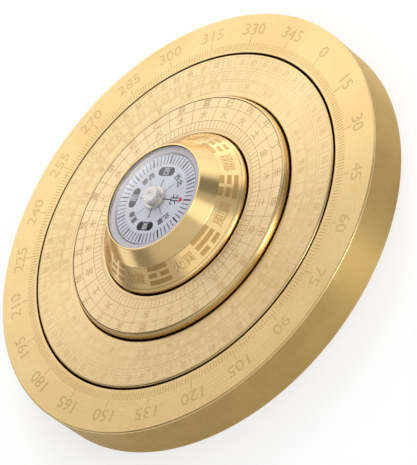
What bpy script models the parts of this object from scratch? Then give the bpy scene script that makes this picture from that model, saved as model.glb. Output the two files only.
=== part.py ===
"""Four-tier brass feng shui compass (luopan), built the way it comes apart on a bench.

Three turned brass pieces spin inside a fixed outer degree ring: the middle ring, the inner ring
and the hub. Each is carried by its own small ball bearing on one steel post, and the hub holds a
sealed compass capsule with a card that floats on a jewelled pivot.

Metres, +Z up. The origin is the centre of the underside, so the instrument stands on z = 0.
"""

from math import atan2, cos, pi, sin, sqrt

import bmesh
import bpy
from mathutils import Matrix, Vector

# Compass card, its ring magnet, silver cap and jewel. Every radius outside the card follows from
# the card's own, from the inside outwards.
CARD_RADIUS = 0.0092
CARD_THICKNESS = 0.0004
CARD_BELOW_RIM = 0.0012
CARD_HOLE_RADIUS = 0.0009
MAGNET_RADIUS = 0.0042
MAGNET_BORE_RADIUS = 0.0015
MAGNET_THICKNESS = 0.0009
CAP_FOOT_RADIUS = 0.0023
CAP_FOOT_HEIGHT = 0.0006
CAP_RADIUS = 0.0017
CAP_HEIGHT = 0.0017
CAP_ROUND = 0.0003
CAP_CROWN = 0.0003
JEWEL_RADIUS = 0.0008
JEWEL_HEIGHT = 0.0009
JEWEL_CUP_RADIUS = 0.0006
JEWEL_CUP_DEPTH = 0.0006

# Sealed capsule round the card: moulded case, pivot pin, rubber seat ring and domed lens.
CARD_CLEARANCE = 0.0006
CAP_CLEARANCE = 0.0002
CASE_WALL = 0.0009
CASE_FLOOR = 0.0007
LENS_THICKNESS = 0.0006
LENS_FLANGE_WIDTH = 0.0006
LENS_DROP = 0.0003
PIN_RADIUS = 0.0003
PIN_POINT_LENGTH = 0.0007
PIN_SEAT_RADIUS = 0.0012
PIN_SEAT_HEIGHT = 0.0009
SEAT_RING_THICKNESS = 0.0004
SEAT_RING_WIDTH = 0.0045
CAPSULE_FLOOR_LIP_WIDTH = 0.0003
CAPSULE_FLOOR_LIP_THICKNESS = 0.0010

# Hub: a thin lip, a polished upper cone, a fine turned groove and an engraved lower cone. The
# runs are how far each cone widens, and the rises are heights above the face of the outer ring.
RIM_WIDTH = 0.00032
RIM_ROUND = 0.0001
RIM_RISE = 0.0083
UPPER_CONE_RUN = 0.00203
FOLD_GROOVE_WIDTH = 0.0003
FOLD_GROOVE_DEPTH = 0.0002
FOLD_RISE = 0.0053
LOWER_CONE_RUN = 0.00355
HUB_RISE = 0.0022

# The dial faces, and the grooves that part them.
HUB_GROOVE = 0.0006
INNER_FACE_WIDTH = 0.00805
INNER_RISE = 0.0016
INNER_CHAMFER = 0.0006
MIDDLE_GROOVE = 0.0007
MIDDLE_FACE_WIDTH = 0.0089
MIDDLE_RISE = 0.0002
OUTER_GROOVE = 0.0006
OUTER_FACE_WIDTH = 0.00845
FACE_HEIGHT = 0.0085
FACE_CHAMFER = 0.00025
EDGE_ROUND = 0.0003
FOOT_CHAMFER = 0.0003

# Base plate under the outer ring, its seat in the ring and its countersunk screws.
PLATE_SEAT_WIDTH = 0.00475
PLATE_THICKNESS = 0.0016
PLATE_BOSS_HEIGHT = 0.0003
SCREW_COUNT = 6
SCREW_SHANK_RADIUS = 0.0008
SCREW_HEAD_RADIUS = 0.0015
SCREW_HEAD_HEIGHT = 0.0009
SCREW_LENGTH = 0.0045
SCREW_HOLE_SPARE = 0.0006

# Miniature deep-groove ball bearing, 4 x 9 x 2.5 mm. What its catalogue leaves free is a share of
# half its section (balls, shoulders and cage wall) or of half its width (cage heights).
BEARING_BORE_RADIUS = 0.0020
BEARING_RADIUS = 0.0045
BEARING_WIDTH = 0.0025
BALL_COUNT = 7
BALL_SHARE = 0.632
SHOULDER_SHARE = 0.6
CAGE_WALL_SHARE = 0.48
CAGE_CROWN_SHARE = 0.92
CAGE_SKIRT_SHARE = 0.24

# Steel post that carries the three bearings, and what keeps them on it.
POST_FLANGE_RADIUS = 0.0050
POST_FLANGE_THICKNESS = 0.0007
POST_THREAD_RADIUS = 0.0008
POST_THREAD_DEPTH = 0.0036
KEEPER_WIDTH = 0.0008
KEEPER_THICKNESS = 0.00025
KEEPER_HEAD_RADIUS = 0.0016
KEEPER_HEAD_HEIGHT = 0.0006
KEEPER_SCREW_LENGTH = 0.0030
SPACER_WIDTH = 0.0006
SPACER_THICKNESS = 0.0002

# Clearances: between pieces that seat on each other, round the plate, round the balls and at the
# pivot's point, and how far the underside's fittings are set up from the table.
SEAT_GAP = 0.0001
PLATE_GAP = 0.0003
BALL_GAP = 0.0001
UNDERSIDE_RECESS = 0.0001
PIVOT_GAP = 0.0001
CUT_OVERRUN = 0.0005
WELD_DISTANCE = 0.000005

# Facets round a large ring, a small turned piece and a ball.
RING_STEPS = 64
CAPSULE_STEPS = 28
SMALL_STEPS = 18
SCREW_STEPS = 12
BALL_STEPS = 8
POCKET_STEPS = 10
ARC_STEPS = 2
GROOVE_STEPS = 3
DOME_STEPS = 4

# Radii, from the card outwards.
case_bore_radius = CARD_RADIUS + CARD_CLEARANCE
capsule_radius = case_bore_radius + CASE_WALL
mouth_radius = capsule_radius + SEAT_GAP
rim_radius = mouth_radius + RIM_WIDTH
fold_radius = rim_radius + UPPER_CONE_RUN
hub_radius = fold_radius + LOWER_CONE_RUN
inner_bore = hub_radius + HUB_GROOVE
inner_radius = inner_bore + INNER_FACE_WIDTH
middle_bore = inner_radius + MIDDLE_GROOVE
middle_radius = middle_bore + MIDDLE_FACE_WIDTH
outer_bore = middle_radius + OUTER_GROOVE
body_radius = outer_bore + OUTER_FACE_WIDTH
plate_seat_radius = outer_bore + PLATE_SEAT_WIDTH
plate_radius = plate_seat_radius - PLATE_GAP
screw_circle_radius = (outer_bore + plate_radius) / 2

# Radii of the bearings and of what holds them.
half_section = (BEARING_RADIUS - BEARING_BORE_RADIUS) / 2
ball_circle_radius = BEARING_BORE_RADIUS + half_section
ball_radius = BALL_SHARE * half_section
race_seat_radius = BEARING_RADIUS + SEAT_GAP
floor_lip_radius = BEARING_RADIUS - CAPSULE_FLOOR_LIP_WIDTH
post_radius = BEARING_BORE_RADIUS - SEAT_GAP
spacer_radius = BEARING_BORE_RADIUS + SPACER_WIDTH
keeper_radius = BEARING_BORE_RADIUS + KEEPER_WIDTH

# Heights, from the table up.
plate_top = PLATE_THICKNESS
ring_shoulder = plate_top + PLATE_GAP
post_boss_top = plate_top + PLATE_BOSS_HEIGHT
bearing_pitch = BEARING_WIDTH + SPACER_THICKNESS + 2 * SEAT_GAP
bearing_bottoms = [post_boss_top + SEAT_GAP + tier * bearing_pitch for tier in range(3)]
keeper_bottom = bearing_bottoms[2] + BEARING_WIDTH + SEAT_GAP
post_top = keeper_bottom - SEAT_GAP
middle_face = FACE_HEIGHT + MIDDLE_RISE
inner_face = FACE_HEIGHT + INNER_RISE
hub_base = FACE_HEIGHT + HUB_RISE
fold_height = FACE_HEIGHT + FOLD_RISE
rim_height = FACE_HEIGHT + RIM_RISE
capsule_floor = bearing_bottoms[2] + BEARING_WIDTH + SEAT_GAP + CAPSULE_FLOOR_LIP_THICKNESS
seat_ring_bottom = capsule_floor + SEAT_GAP
case_bottom = seat_ring_bottom + SEAT_RING_THICKNESS + SEAT_GAP
pin_seat_top = case_bottom + CASE_FLOOR + PIN_SEAT_HEIGHT
lens_flange_top = rim_height - LENS_DROP
lens_flange_bottom = lens_flange_top - LENS_THICKNESS
case_top = lens_flange_bottom - SEAT_GAP
card_top = rim_height - CARD_BELOW_RIM
card_bottom = card_top - CARD_THICKNESS
cap_bottom = card_top + SEAT_GAP
cap_top = cap_bottom + CAP_HEIGHT
lens_crown = cap_top + CAP_CLEARANCE - lens_flange_bottom
jewel_top = cap_top - CAP_CROWN - SEAT_GAP
jewel_bottom = jewel_top - JEWEL_HEIGHT
pin_tip = jewel_bottom + JEWEL_CUP_DEPTH - PIVOT_GAP

SATIN_BRASS = ("satin turned brass", (0.79, 0.60, 0.29), 0.30, 1.0)
POLISHED_BRASS = ("polished brass", (0.83, 0.64, 0.33), 0.14, 1.0)
STEEL = ("ground steel", (0.62, 0.62, 0.63), 0.25, 1.0)
BALL_STEEL = ("bearing steel", (0.72, 0.72, 0.74), 0.08, 1.0)
NYLON = ("nylon cage", (0.72, 0.68, 0.56), 0.55, 0.0)
RUBBER = ("black rubber", (0.02, 0.02, 0.02), 0.80, 0.0)
GREY_PLASTIC = ("grey moulded plastic", (0.50, 0.49, 0.52), 0.40, 0.0)
CLEAR_PLASTIC = ("clear acrylic", (0.95, 0.96, 0.97), 0.03, 0.0)
CARD_WHITE = ("printed white card", (0.80, 0.80, 0.86), 0.45, 0.0)
MAGNET_GREY = ("nickel-plated magnet", (0.45, 0.44, 0.42), 0.25, 1.0)
CAP_SILVER = ("turned aluminium", (0.78, 0.76, 0.74), 0.25, 1.0)
JEWEL_RED = ("synthetic jewel", (0.45, 0.05, 0.12), 0.05, 0.0)


def clear_scene():
    """Start from an empty scene without closing the file that this runs from."""
    for obj in list(bpy.data.objects):
        bpy.data.objects.remove(obj, do_unlink=True)


def new_collection(name):
    collection = bpy.data.collections.new(name)
    bpy.context.scene.collection.children.link(collection)
    return collection


def material_for(piece_name, look):
    """One material for each piece: (label, base colour, roughness, metallic)."""
    label, colour, roughness, metallic = look
    material = bpy.data.materials.new(piece_name + " " + label)
    material.use_nodes = True
    shader = material.node_tree.nodes["Principled BSDF"]
    shader.inputs["Base Color"].default_value = (*colour, 1.0)
    shader.inputs["Roughness"].default_value = roughness
    shader.inputs["Metallic"].default_value = metallic
    return material


def axis_empty(name, height):
    """An empty on the common axis: the origin of everything that turns with it."""
    empty = bpy.data.objects.new(name, None)
    empty.location = (0, 0, height)
    parts.objects.link(empty)
    bpy.context.view_layer.update()
    return empty


def finish(obj, look, parent, home):
    """Give a piece its material, its parent and its place in the collection."""
    obj.data.materials.clear()
    obj.data.materials.append(material_for(obj.name, look))
    parts.objects.link(obj)
    if parent is not None:
        obj.parent = parent
        home = Vector(home) - parent.location
    obj.location = home
    return obj


def turned(name, profile, steps, closed):
    """A solid of revolution. The profile of (radius, height) points runs down its outer side."""
    mesh = bpy.data.meshes.new(name)
    last = len(profile) - 1
    edges = [(index, index + 1) for index in range(last)]
    if closed:
        edges.append((last, 0))
    mesh.from_pydata([(radius, 0, height) for radius, height in profile], edges, [])
    obj = bpy.data.objects.new(name, mesh)
    screw = obj.modifiers.new("turned", 'SCREW')
    screw.axis = 'Z'
    screw.angle = 2 * pi
    screw.steps = steps
    screw.render_steps = steps
    screw.use_merge_vertices = True
    screw.merge_threshold = WELD_DISTANCE
    screw.use_smooth_shade = True
    return obj


def turned_piece(name, profile, look, parent=None, steps=RING_STEPS, closed=True, home=(0, 0, 0)):
    """A turned piece whose profile heights are measured from home."""
    obj = turned(name, profile, steps, closed)
    return finish(obj, look, parent, home)


def lowered(profile, drop):
    """The same profile, measured from a point that lies drop above the old one."""
    return [(radius, height - drop) for radius, height in profile]


def arc(centre_radius, centre_height, radius, start, end, steps):
    """Profile points on an arc, from one angle to another in degrees, both ends included."""
    angles = [(start + (end - start) * step / steps) * pi / 180 for step in range(steps + 1)]
    return [(centre_radius + radius * cos(a), centre_height + radius * sin(a)) for a in angles]


def rectangle(inner, outer, bottom, top):
    """Closed profile of a plain washer."""
    return [(inner, top), (outer, top), (outer, bottom), (inner, bottom)]


def cut(obj, cutter):
    """Take the cutter out of the piece."""
    cutters.objects.link(cutter)
    cutter.hide_render = True
    cutter.display_type = 'WIRE'
    boolean = obj.modifiers.new("cut by " + cutter.name, 'BOOLEAN')
    boolean.operation = 'DIFFERENCE'
    boolean.solver = 'EXACT'
    boolean.object = cutter


def round_places(count, radius, height):
    """Places spaced evenly round the axis, the first one on +X."""
    angles = [2 * pi * index / count for index in range(count)]
    return [Vector((radius * cos(a), radius * sin(a), height)) for a in angles]


def build_outer_ring():
    """Degree ring: flat face, rounded top edge, and a shoulder underneath for the base plate."""
    rounded = arc(body_radius - EDGE_ROUND, FACE_HEIGHT - EDGE_ROUND, EDGE_ROUND, 90, 0, ARC_STEPS)
    profile = [(outer_bore + FACE_CHAMFER, FACE_HEIGHT)]
    profile += rounded
    profile += [
        (body_radius, FOOT_CHAMFER),
        (body_radius - FOOT_CHAMFER, 0),
        (plate_seat_radius, 0),
        (plate_seat_radius, ring_shoulder),
        (outer_bore, ring_shoulder),
        (outer_bore, FACE_HEIGHT - FACE_CHAMFER),
    ]
    ring = turned_piece("outer_ring", profile, SATIN_BRASS)
    hole_top = UNDERSIDE_RECESS + SCREW_LENGTH + SCREW_HOLE_SPARE
    hole_radius = SCREW_SHANK_RADIUS + SEAT_GAP
    hole_bottom = ring_shoulder - CUT_OVERRUN
    hole = bmesh.new()
    for place in round_places(SCREW_COUNT, screw_circle_radius, (hole_top + hole_bottom) / 2):
        bmesh.ops.create_cone(hole, cap_ends=True, segments=SCREW_STEPS, radius1=hole_radius,
                              radius2=hole_radius, depth=hole_top - hole_bottom,
                              matrix=Matrix.Translation(place))
    cut(ring, mesh_object("tapped holes", hole))
    return ring


def mesh_object(name, shape):
    """Turn a bmesh into an object that is not yet in any collection."""
    mesh = bpy.data.meshes.new(name)
    shape.to_mesh(mesh)
    shape.free()
    return bpy.data.objects.new(name, mesh)


def build_base_plate():
    """Thin plate that closes the ring from below, with a raised boss under the first bearing."""
    post_hole = post_radius + SEAT_GAP
    counterbore = POST_FLANGE_RADIUS + SEAT_GAP
    counterbore_top = UNDERSIDE_RECESS + POST_FLANGE_THICKNESS + SEAT_GAP
    profile = [
        (post_hole, post_boss_top),
        (spacer_radius, post_boss_top),
        (spacer_radius, plate_top),
        (plate_radius, plate_top),
        (plate_radius, 0),
        (counterbore, 0),
        (counterbore, counterbore_top),
        (post_hole, counterbore_top),
    ]
    plate = turned_piece("base_plate", profile, SATIN_BRASS)
    head_top = UNDERSIDE_RECESS + SCREW_HEAD_HEIGHT + SEAT_GAP
    mouth_radius = SCREW_HEAD_RADIUS + SEAT_GAP
    throat_radius = SCREW_SHANK_RADIUS + SEAT_GAP
    slope = (mouth_radius - throat_radius) / head_top
    sink = bmesh.new()
    for place in round_places(SCREW_COUNT, screw_circle_radius, 0):
        low_radius = mouth_radius + slope * CUT_OVERRUN
        cone = Matrix.Translation(place + Vector((0, 0, (head_top - CUT_OVERRUN) / 2)))
        bmesh.ops.create_cone(sink, cap_ends=True, segments=SCREW_STEPS, radius1=low_radius,
                              radius2=throat_radius, depth=head_top + CUT_OVERRUN, matrix=cone)
    cut(plate, mesh_object("countersinks", sink))
    drill_bottom = head_top - CUT_OVERRUN
    drill_top = plate_top + CUT_OVERRUN
    drill = bmesh.new()
    for place in round_places(SCREW_COUNT, screw_circle_radius, (drill_bottom + drill_top) / 2):
        bmesh.ops.create_cone(drill, cap_ends=True, segments=SCREW_STEPS, radius1=throat_radius,
                              radius2=throat_radius, depth=drill_top - drill_bottom,
                              matrix=Matrix.Translation(place))
    cut(plate, mesh_object("screw holes", drill))
    return plate


def build_plate_screws():
    """Countersunk screws, heads down, that hold the plate to the ring."""
    head_top = SCREW_HEAD_HEIGHT
    profile = [
        (0, SCREW_LENGTH),
        (SCREW_SHANK_RADIUS, SCREW_LENGTH),
        (SCREW_SHANK_RADIUS, head_top),
        (SCREW_HEAD_RADIUS, 0),
        (0, 0),
    ]
    places = round_places(SCREW_COUNT, screw_circle_radius, UNDERSIDE_RECESS)
    for number, place in enumerate(places, start=1):
        turned_piece(f"plate_screw_{number}", profile, STEEL, steps=SCREW_STEPS, closed=False,
                     home=place)


def build_post():
    """Flanged steel post, pushed up through the plate, with a tapped hole in its top."""
    flange_top = UNDERSIDE_RECESS + POST_FLANGE_THICKNESS
    thread_bottom = post_top - POST_THREAD_DEPTH
    thread_radius = POST_THREAD_RADIUS + SEAT_GAP
    profile = [
        (0, thread_bottom),
        (thread_radius, thread_bottom),
        (thread_radius, post_top),
        (post_radius, post_top),
        (post_radius, flange_top),
        (POST_FLANGE_RADIUS, flange_top),
        (POST_FLANGE_RADIUS, UNDERSIDE_RECESS),
        (0, UNDERSIDE_RECESS),
    ]
    turned_piece("axle_post", profile, STEEL, steps=SMALL_STEPS, closed=False)


def build_keeper():
    """Washer and small screw on top of the post, which keep the stack of bearings together."""
    washer_bore = POST_THREAD_RADIUS + SEAT_GAP
    washer_top = keeper_bottom + KEEPER_THICKNESS
    washer = rectangle(washer_bore, keeper_radius, keeper_bottom, washer_top)
    turned_piece("axle_washer", washer, STEEL, steps=SMALL_STEPS)
    head_bottom = washer_top + SEAT_GAP
    head_top = head_bottom + KEEPER_HEAD_HEIGHT
    profile = [
        (0, head_top),
        (KEEPER_HEAD_RADIUS, head_top),
        (KEEPER_HEAD_RADIUS, head_bottom),
        (POST_THREAD_RADIUS, head_bottom),
        (POST_THREAD_RADIUS, head_bottom - KEEPER_SCREW_LENGTH),
        (0, head_bottom - KEEPER_SCREW_LENGTH),
    ]
    turned_piece("axle_screw", profile, STEEL, steps=SCREW_STEPS, closed=False)


def build_spacers():
    """Thin washers between the inner races, so that only the outer races and balls can move."""
    for name, below in (("lower_spacer", 0), ("upper_spacer", 1)):
        bottom = bearing_bottoms[below] + BEARING_WIDTH + SEAT_GAP
        profile = rectangle(BEARING_BORE_RADIUS, spacer_radius, bottom, bottom + SPACER_THICKNESS)
        turned_piece(name, profile, STEEL, steps=SMALL_STEPS)


def build_stepped_ring(name, outer, bore, face, bottom, chamfer, parent):
    """A turning ring: thick rim with the dial face, and a web in to its bearing."""
    web_top = bottom + BEARING_WIDTH
    profile = [
        (bore + FACE_CHAMFER, face),
        (outer - chamfer, face),
        (outer, face - chamfer),
        (outer, bottom),
        (race_seat_radius, bottom),
        (race_seat_radius, web_top),
        (bore, web_top),
        (bore, face - FACE_CHAMFER),
    ]
    home = parent.location
    return turned_piece(name, lowered(profile, home.z), SATIN_BRASS, parent, home=home)


def build_middle_ring(parent):
    build_stepped_ring("middle_ring", middle_radius, middle_bore, middle_face,
                       bearing_bottoms[0], FACE_CHAMFER, parent)


def build_inner_ring(parent):
    build_stepped_ring("inner_ring", inner_radius, inner_bore, inner_face,
                       bearing_bottoms[1], INNER_CHAMFER, parent)


def build_hub(parent):
    """The hub: two cones with a fine groove between them, bored for the capsule and a bearing."""
    bottom = bearing_bottoms[2]
    lip_bottom = capsule_floor - CAPSULE_FLOOR_LIP_THICKNESS
    lower_rise = fold_height - hub_base
    slope = atan2(lower_rise, LOWER_CONE_RUN)
    groove_foot = (fold_radius + FOLD_GROOVE_WIDTH * cos(slope),
                   fold_height - FOLD_GROOVE_WIDTH * sin(slope))
    groove_bed = ((fold_radius + groove_foot[0]) / 2 - FOLD_GROOVE_DEPTH * sin(slope),
                  (fold_height + groove_foot[1]) / 2 - FOLD_GROOVE_DEPTH * cos(slope))
    profile = [
        (mouth_radius, rim_height),
        (rim_radius - RIM_ROUND, rim_height),
        (rim_radius, rim_height - RIM_ROUND),
        (fold_radius, fold_height),
        groove_bed,
        groove_foot,
        (hub_radius, hub_base),
        (hub_radius, bottom),
        (race_seat_radius, bottom),
        (race_seat_radius, lip_bottom),
        (floor_lip_radius, lip_bottom),
        (floor_lip_radius, capsule_floor),
        (mouth_radius, capsule_floor),
    ]
    home = parent.location
    turned_piece("hub_cone", lowered(profile, home.z), POLISHED_BRASS, parent, home=home)


def race_groove(start, end):
    """Ball track of a race, as an arc round the ball's centre, clear of the ball all round."""
    return arc(ball_circle_radius, 0, ball_radius + BALL_GAP, start, end, GROOVE_STEPS)


def build_bearing(label, bottom, ring_parent, cage_parent):
    """Deep-groove bearing: inner race on the post, outer race in the ring, balls in a cage."""
    middle = bottom + BEARING_WIDTH / 2
    half = BEARING_WIDTH / 2
    inner_shoulder = BEARING_BORE_RADIUS + SHOULDER_SHARE * half_section
    outer_shoulder = BEARING_RADIUS - SHOULDER_SHARE * half_section
    reach = ball_circle_radius - inner_shoulder
    edge = sqrt((ball_radius + BALL_GAP) ** 2 - reach ** 2)
    lean = atan2(edge, reach) * 180 / pi
    inner_profile = [(BEARING_BORE_RADIUS, half), (inner_shoulder, half)]
    inner_profile += race_groove(180 - lean, 180 + lean)
    inner_profile += [(inner_shoulder, -half), (BEARING_BORE_RADIUS, -half)]
    centre = (0, 0, middle)
    turned_piece(label + "_inner_race", inner_profile, BALL_STEEL, steps=SMALL_STEPS, home=centre)
    outer_profile = [(BEARING_RADIUS, half), (BEARING_RADIUS, -half), (outer_shoulder, -half)]
    outer_profile += race_groove(-lean, lean)
    outer_profile += [(outer_shoulder, half)]
    turned_piece(label + "_outer_race", outer_profile, BALL_STEEL, ring_parent,
                 steps=SMALL_STEPS, home=centre)
    build_cage(label, middle, cage_parent)


def build_cage(label, middle, parent):
    """Moulded crown cage that snaps over the balls from above, and its loose balls."""
    half_wall = CAGE_WALL_SHARE * half_section / 2
    half_width = BEARING_WIDTH / 2
    band = rectangle(ball_circle_radius - half_wall, ball_circle_radius + half_wall,
                     -CAGE_SKIRT_SHARE * half_width, CAGE_CROWN_SHARE * half_width)
    cage = turned_piece(label + "_cage", band, NYLON, parent, steps=3 * BALL_COUNT,
                        home=(0, 0, middle))
    pockets = bmesh.new()
    for place in round_places(BALL_COUNT, ball_circle_radius, middle):
        bmesh.ops.create_uvsphere(pockets, u_segments=POCKET_STEPS, v_segments=POCKET_STEPS // 2,
                                  radius=ball_radius + BALL_GAP, matrix=Matrix.Translation(place))
    cut(cage, mesh_object(label + " pockets", pockets))
    ball = bmesh.new()
    bmesh.ops.create_uvsphere(ball, u_segments=BALL_STEPS, v_segments=BALL_STEPS // 2 + 1,
                              radius=ball_radius)
    ball_mesh = bpy.data.meshes.new(label + "_ball")
    ball.to_mesh(ball_mesh)
    ball.free()
    ball_mesh.shade_smooth()
    ball_mesh.materials.append(material_for(label + "_ball", BALL_STEEL))
    for number, place in enumerate(round_places(BALL_COUNT, ball_circle_radius, middle), start=1):
        obj = bpy.data.objects.new(f"{label}_ball_{number}", ball_mesh)
        parts.objects.link(obj)
        obj.parent = parent
        obj.location = place - parent.location


def build_capsule(parent):
    """Sealed capsule: rubber seat ring, moulded case with its pivot pin, and the domed lens."""
    home = parent.location
    seat = rectangle(capsule_radius - SEAT_RING_WIDTH, capsule_radius, seat_ring_bottom,
                     seat_ring_bottom + SEAT_RING_THICKNESS)
    turned_piece("capsule_seat_ring", lowered(seat, home.z), RUBBER, parent,
                 steps=SMALL_STEPS, home=home)
    floor = case_bottom + CASE_FLOOR
    pin_hole = PIN_RADIUS + SEAT_GAP
    case = [
        (0, floor),
        (pin_hole, floor),
        (pin_hole, pin_seat_top),
        (PIN_SEAT_RADIUS, pin_seat_top),
        (PIN_SEAT_RADIUS, floor),
        (case_bore_radius, floor),
        (case_bore_radius, case_top),
        (capsule_radius, case_top),
        (capsule_radius, case_bottom),
        (0, case_bottom),
    ]
    turned_piece("capsule_case", lowered(case, home.z), GREY_PLASTIC, parent,
                 steps=CAPSULE_STEPS, closed=False, home=home)
    lens = lens_profile()
    turned_piece("capsule_lens", lowered(lens, home.z), CLEAR_PLASTIC, parent,
                 steps=CAPSULE_STEPS, closed=False, home=home)
    pin = [
        (0, pin_tip),
        (PIN_RADIUS, pin_tip - PIN_POINT_LENGTH),
        (PIN_RADIUS, floor + SEAT_GAP),
        (0, floor + SEAT_GAP),
    ]
    turned_piece("pivot_pin", lowered(pin, home.z), STEEL, parent, steps=SCREW_STEPS,
                 closed=False, home=home)


def dome(edge_radius, edge_height, rise, start_share, end_share):
    """Points over a shallow spherical dome, as shares of the way from its edge to its crown."""
    ball = (edge_radius ** 2 + rise ** 2) / (2 * rise)
    points = []
    for step in range(DOME_STEPS + 1):
        share = start_share + (end_share - start_share) * step / DOME_STEPS
        radius = edge_radius * (1 - share)
        points.append((radius, edge_height + rise - ball + sqrt(ball ** 2 - radius ** 2)))
    return points


def lens_profile():
    """Domed window with a flat flange that is bonded to the top of the case."""
    dome_radius = capsule_radius - LENS_FLANGE_WIDTH
    under_radius = min(dome_radius, case_bore_radius)
    profile = dome(dome_radius, lens_flange_top, lens_crown, 1, 0)
    profile += [(capsule_radius, lens_flange_top), (capsule_radius, lens_flange_bottom)]
    profile += dome(under_radius, lens_flange_bottom, lens_crown, 0, 1)
    return profile


def build_card(parent):
    """Floating card: the printed disc, ring magnet, silver cap and the jewel that rides the pin."""
    home = parent.location
    card = rectangle(CARD_HOLE_RADIUS, CARD_RADIUS, card_bottom, card_top)
    turned_piece("compass_card", lowered(card, home.z), CARD_WHITE, parent,
                 steps=CAPSULE_STEPS, home=home)
    magnet_top = card_bottom - SEAT_GAP
    magnet = rectangle(MAGNET_BORE_RADIUS, MAGNET_RADIUS, magnet_top - MAGNET_THICKNESS, magnet_top)
    turned_piece("card_magnet", lowered(magnet, home.z), MAGNET_GREY, parent,
                 steps=SMALL_STEPS, home=home)
    foot_top = cap_bottom + CAP_FOOT_HEIGHT
    bore = JEWEL_RADIUS + SEAT_GAP
    cap = [(0, cap_top)]
    cap += arc(CAP_RADIUS - CAP_ROUND, cap_top - CAP_ROUND, CAP_ROUND, 90, 0, ARC_STEPS)
    cap += [
        (CAP_RADIUS, foot_top),
        (CAP_FOOT_RADIUS, foot_top),
        (CAP_FOOT_RADIUS, cap_bottom),
        (bore, cap_bottom),
        (bore, cap_top - CAP_CROWN),
        (0, cap_top - CAP_CROWN),
    ]
    turned_piece("card_cap", lowered(cap, home.z), CAP_SILVER, parent,
                 steps=SMALL_STEPS, closed=False, home=home)
    jewel = [
        (0, jewel_top),
        (JEWEL_RADIUS, jewel_top),
        (JEWEL_RADIUS, jewel_bottom),
        (JEWEL_CUP_RADIUS, jewel_bottom),
        (0, jewel_bottom + JEWEL_CUP_DEPTH),
    ]
    turned_piece("pivot_jewel", lowered(jewel, home.z), JEWEL_RED, parent,
                 steps=SCREW_STEPS, closed=False, home=home)


def keep_flats_flat(obj):
    """Weight the shading by face area, so that flat faces look flat beside their chamfers."""
    if obj.type == 'MESH' and "turned" in obj.modifiers:
        obj.modifiers.new("even shading", 'WEIGHTED_NORMAL')


def build():
    """Everything, from the table up."""
    build_outer_ring()
    build_base_plate()
    build_plate_screws()
    build_post()
    build_spacers()
    build_keeper()
    middle_axis = axis_empty("middle ring axis", bearing_bottoms[0])
    inner_axis = axis_empty("inner ring axis", bearing_bottoms[1])
    hub_axis = axis_empty("hub axis", bearing_bottoms[2])
    card_axis = axis_empty("card pivot", pin_tip)
    build_middle_ring(middle_axis)
    build_inner_ring(inner_axis)
    build_hub(hub_axis)
    carried = (("middle_bearing", middle_axis), ("inner_bearing", inner_axis),
               ("hub_bearing", hub_axis))
    for tier, (label, ring_axis) in enumerate(carried):
        bottom = bearing_bottoms[tier]
        cage_axis = axis_empty(label + " cage axis", bottom)
        build_bearing(label, bottom, ring_axis, cage_axis)
    build_capsule(hub_axis)
    build_card(card_axis)
    for obj in parts.objects:
        keep_flats_flat(obj)


clear_scene()
parts = new_collection("Feng shui compass")
cutters = new_collection("Cutters")
build()
print("parts:", sum(1 for obj in parts.objects if obj.type == 'MESH'))
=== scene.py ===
# %% [markdown]
# # A four-tier brass feng shui compass
# The real instrument is a stack of turned brass rings round a small magnetic compass. The outer ring
# stands still, and the middle ring, the inner ring and the hub each turn on a ball bearing. Every
# dial is etched with fine lines and traditional signs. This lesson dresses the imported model: it
# gives the turned pieces their fine surface, etches the dials, prints the card and lights it all.

from math import atan2, cos, pi, radians, sin, sqrt, tan

import bmesh
import bpy
from mathutils import Matrix, Vector


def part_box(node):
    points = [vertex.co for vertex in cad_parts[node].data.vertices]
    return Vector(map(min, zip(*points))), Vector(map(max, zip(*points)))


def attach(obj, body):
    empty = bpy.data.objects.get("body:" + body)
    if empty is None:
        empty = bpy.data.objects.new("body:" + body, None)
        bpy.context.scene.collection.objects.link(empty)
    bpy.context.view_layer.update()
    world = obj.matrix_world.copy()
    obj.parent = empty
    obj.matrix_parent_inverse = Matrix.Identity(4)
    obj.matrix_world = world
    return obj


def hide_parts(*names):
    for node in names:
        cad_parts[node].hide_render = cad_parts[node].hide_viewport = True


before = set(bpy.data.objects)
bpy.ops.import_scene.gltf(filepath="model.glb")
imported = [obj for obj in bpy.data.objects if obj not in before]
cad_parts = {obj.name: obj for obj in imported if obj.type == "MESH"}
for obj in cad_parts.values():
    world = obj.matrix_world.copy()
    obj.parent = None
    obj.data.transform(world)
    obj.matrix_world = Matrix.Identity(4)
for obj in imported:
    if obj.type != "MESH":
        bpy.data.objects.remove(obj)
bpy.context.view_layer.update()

# %% [markdown]
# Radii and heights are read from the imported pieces, so the dressed pieces fit them exactly. Only
# what a piece's box can't show is written here in millimetres, such as the width of a groove. The
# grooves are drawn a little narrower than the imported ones, which leave room for the bearings' play.

# %% Read the sizes
MM = 0.001
OUTER_GROOVE = 0.4 * MM
MIDDLE_GROOVE = 0.3 * MM
HUB_GROOVE = 0.35 * MM


def reach_of(node):
    """How far out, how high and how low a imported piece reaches."""
    low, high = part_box(node)
    return high.x, high.z, low.z


body_radius, outer_face, _ = reach_of("outer_ring")
middle_radius, middle_face, _ = reach_of("middle_ring")
inner_radius, inner_face, _ = reach_of("inner_ring")
hub_radius, rim_height, hub_bottom = reach_of("hub_cone")
outer_bore = middle_radius + OUTER_GROOVE
middle_bore = inner_radius + MIDDLE_GROOVE
inner_bore = hub_radius + HUB_GROOVE
print("dial faces at", [round(h / MM, 2) for h in (outer_face, middle_face, inner_face)], "mm")

# %% [markdown]
# ## Camera
# The photograph looks down on the dial from about forty degrees, with a long lens and the camera
# rolled far to one side, so that the round dial leans across the picture. The camera is placed by
# its direction from the dial, its distance and its roll, which is how a photographer would set it.

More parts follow.
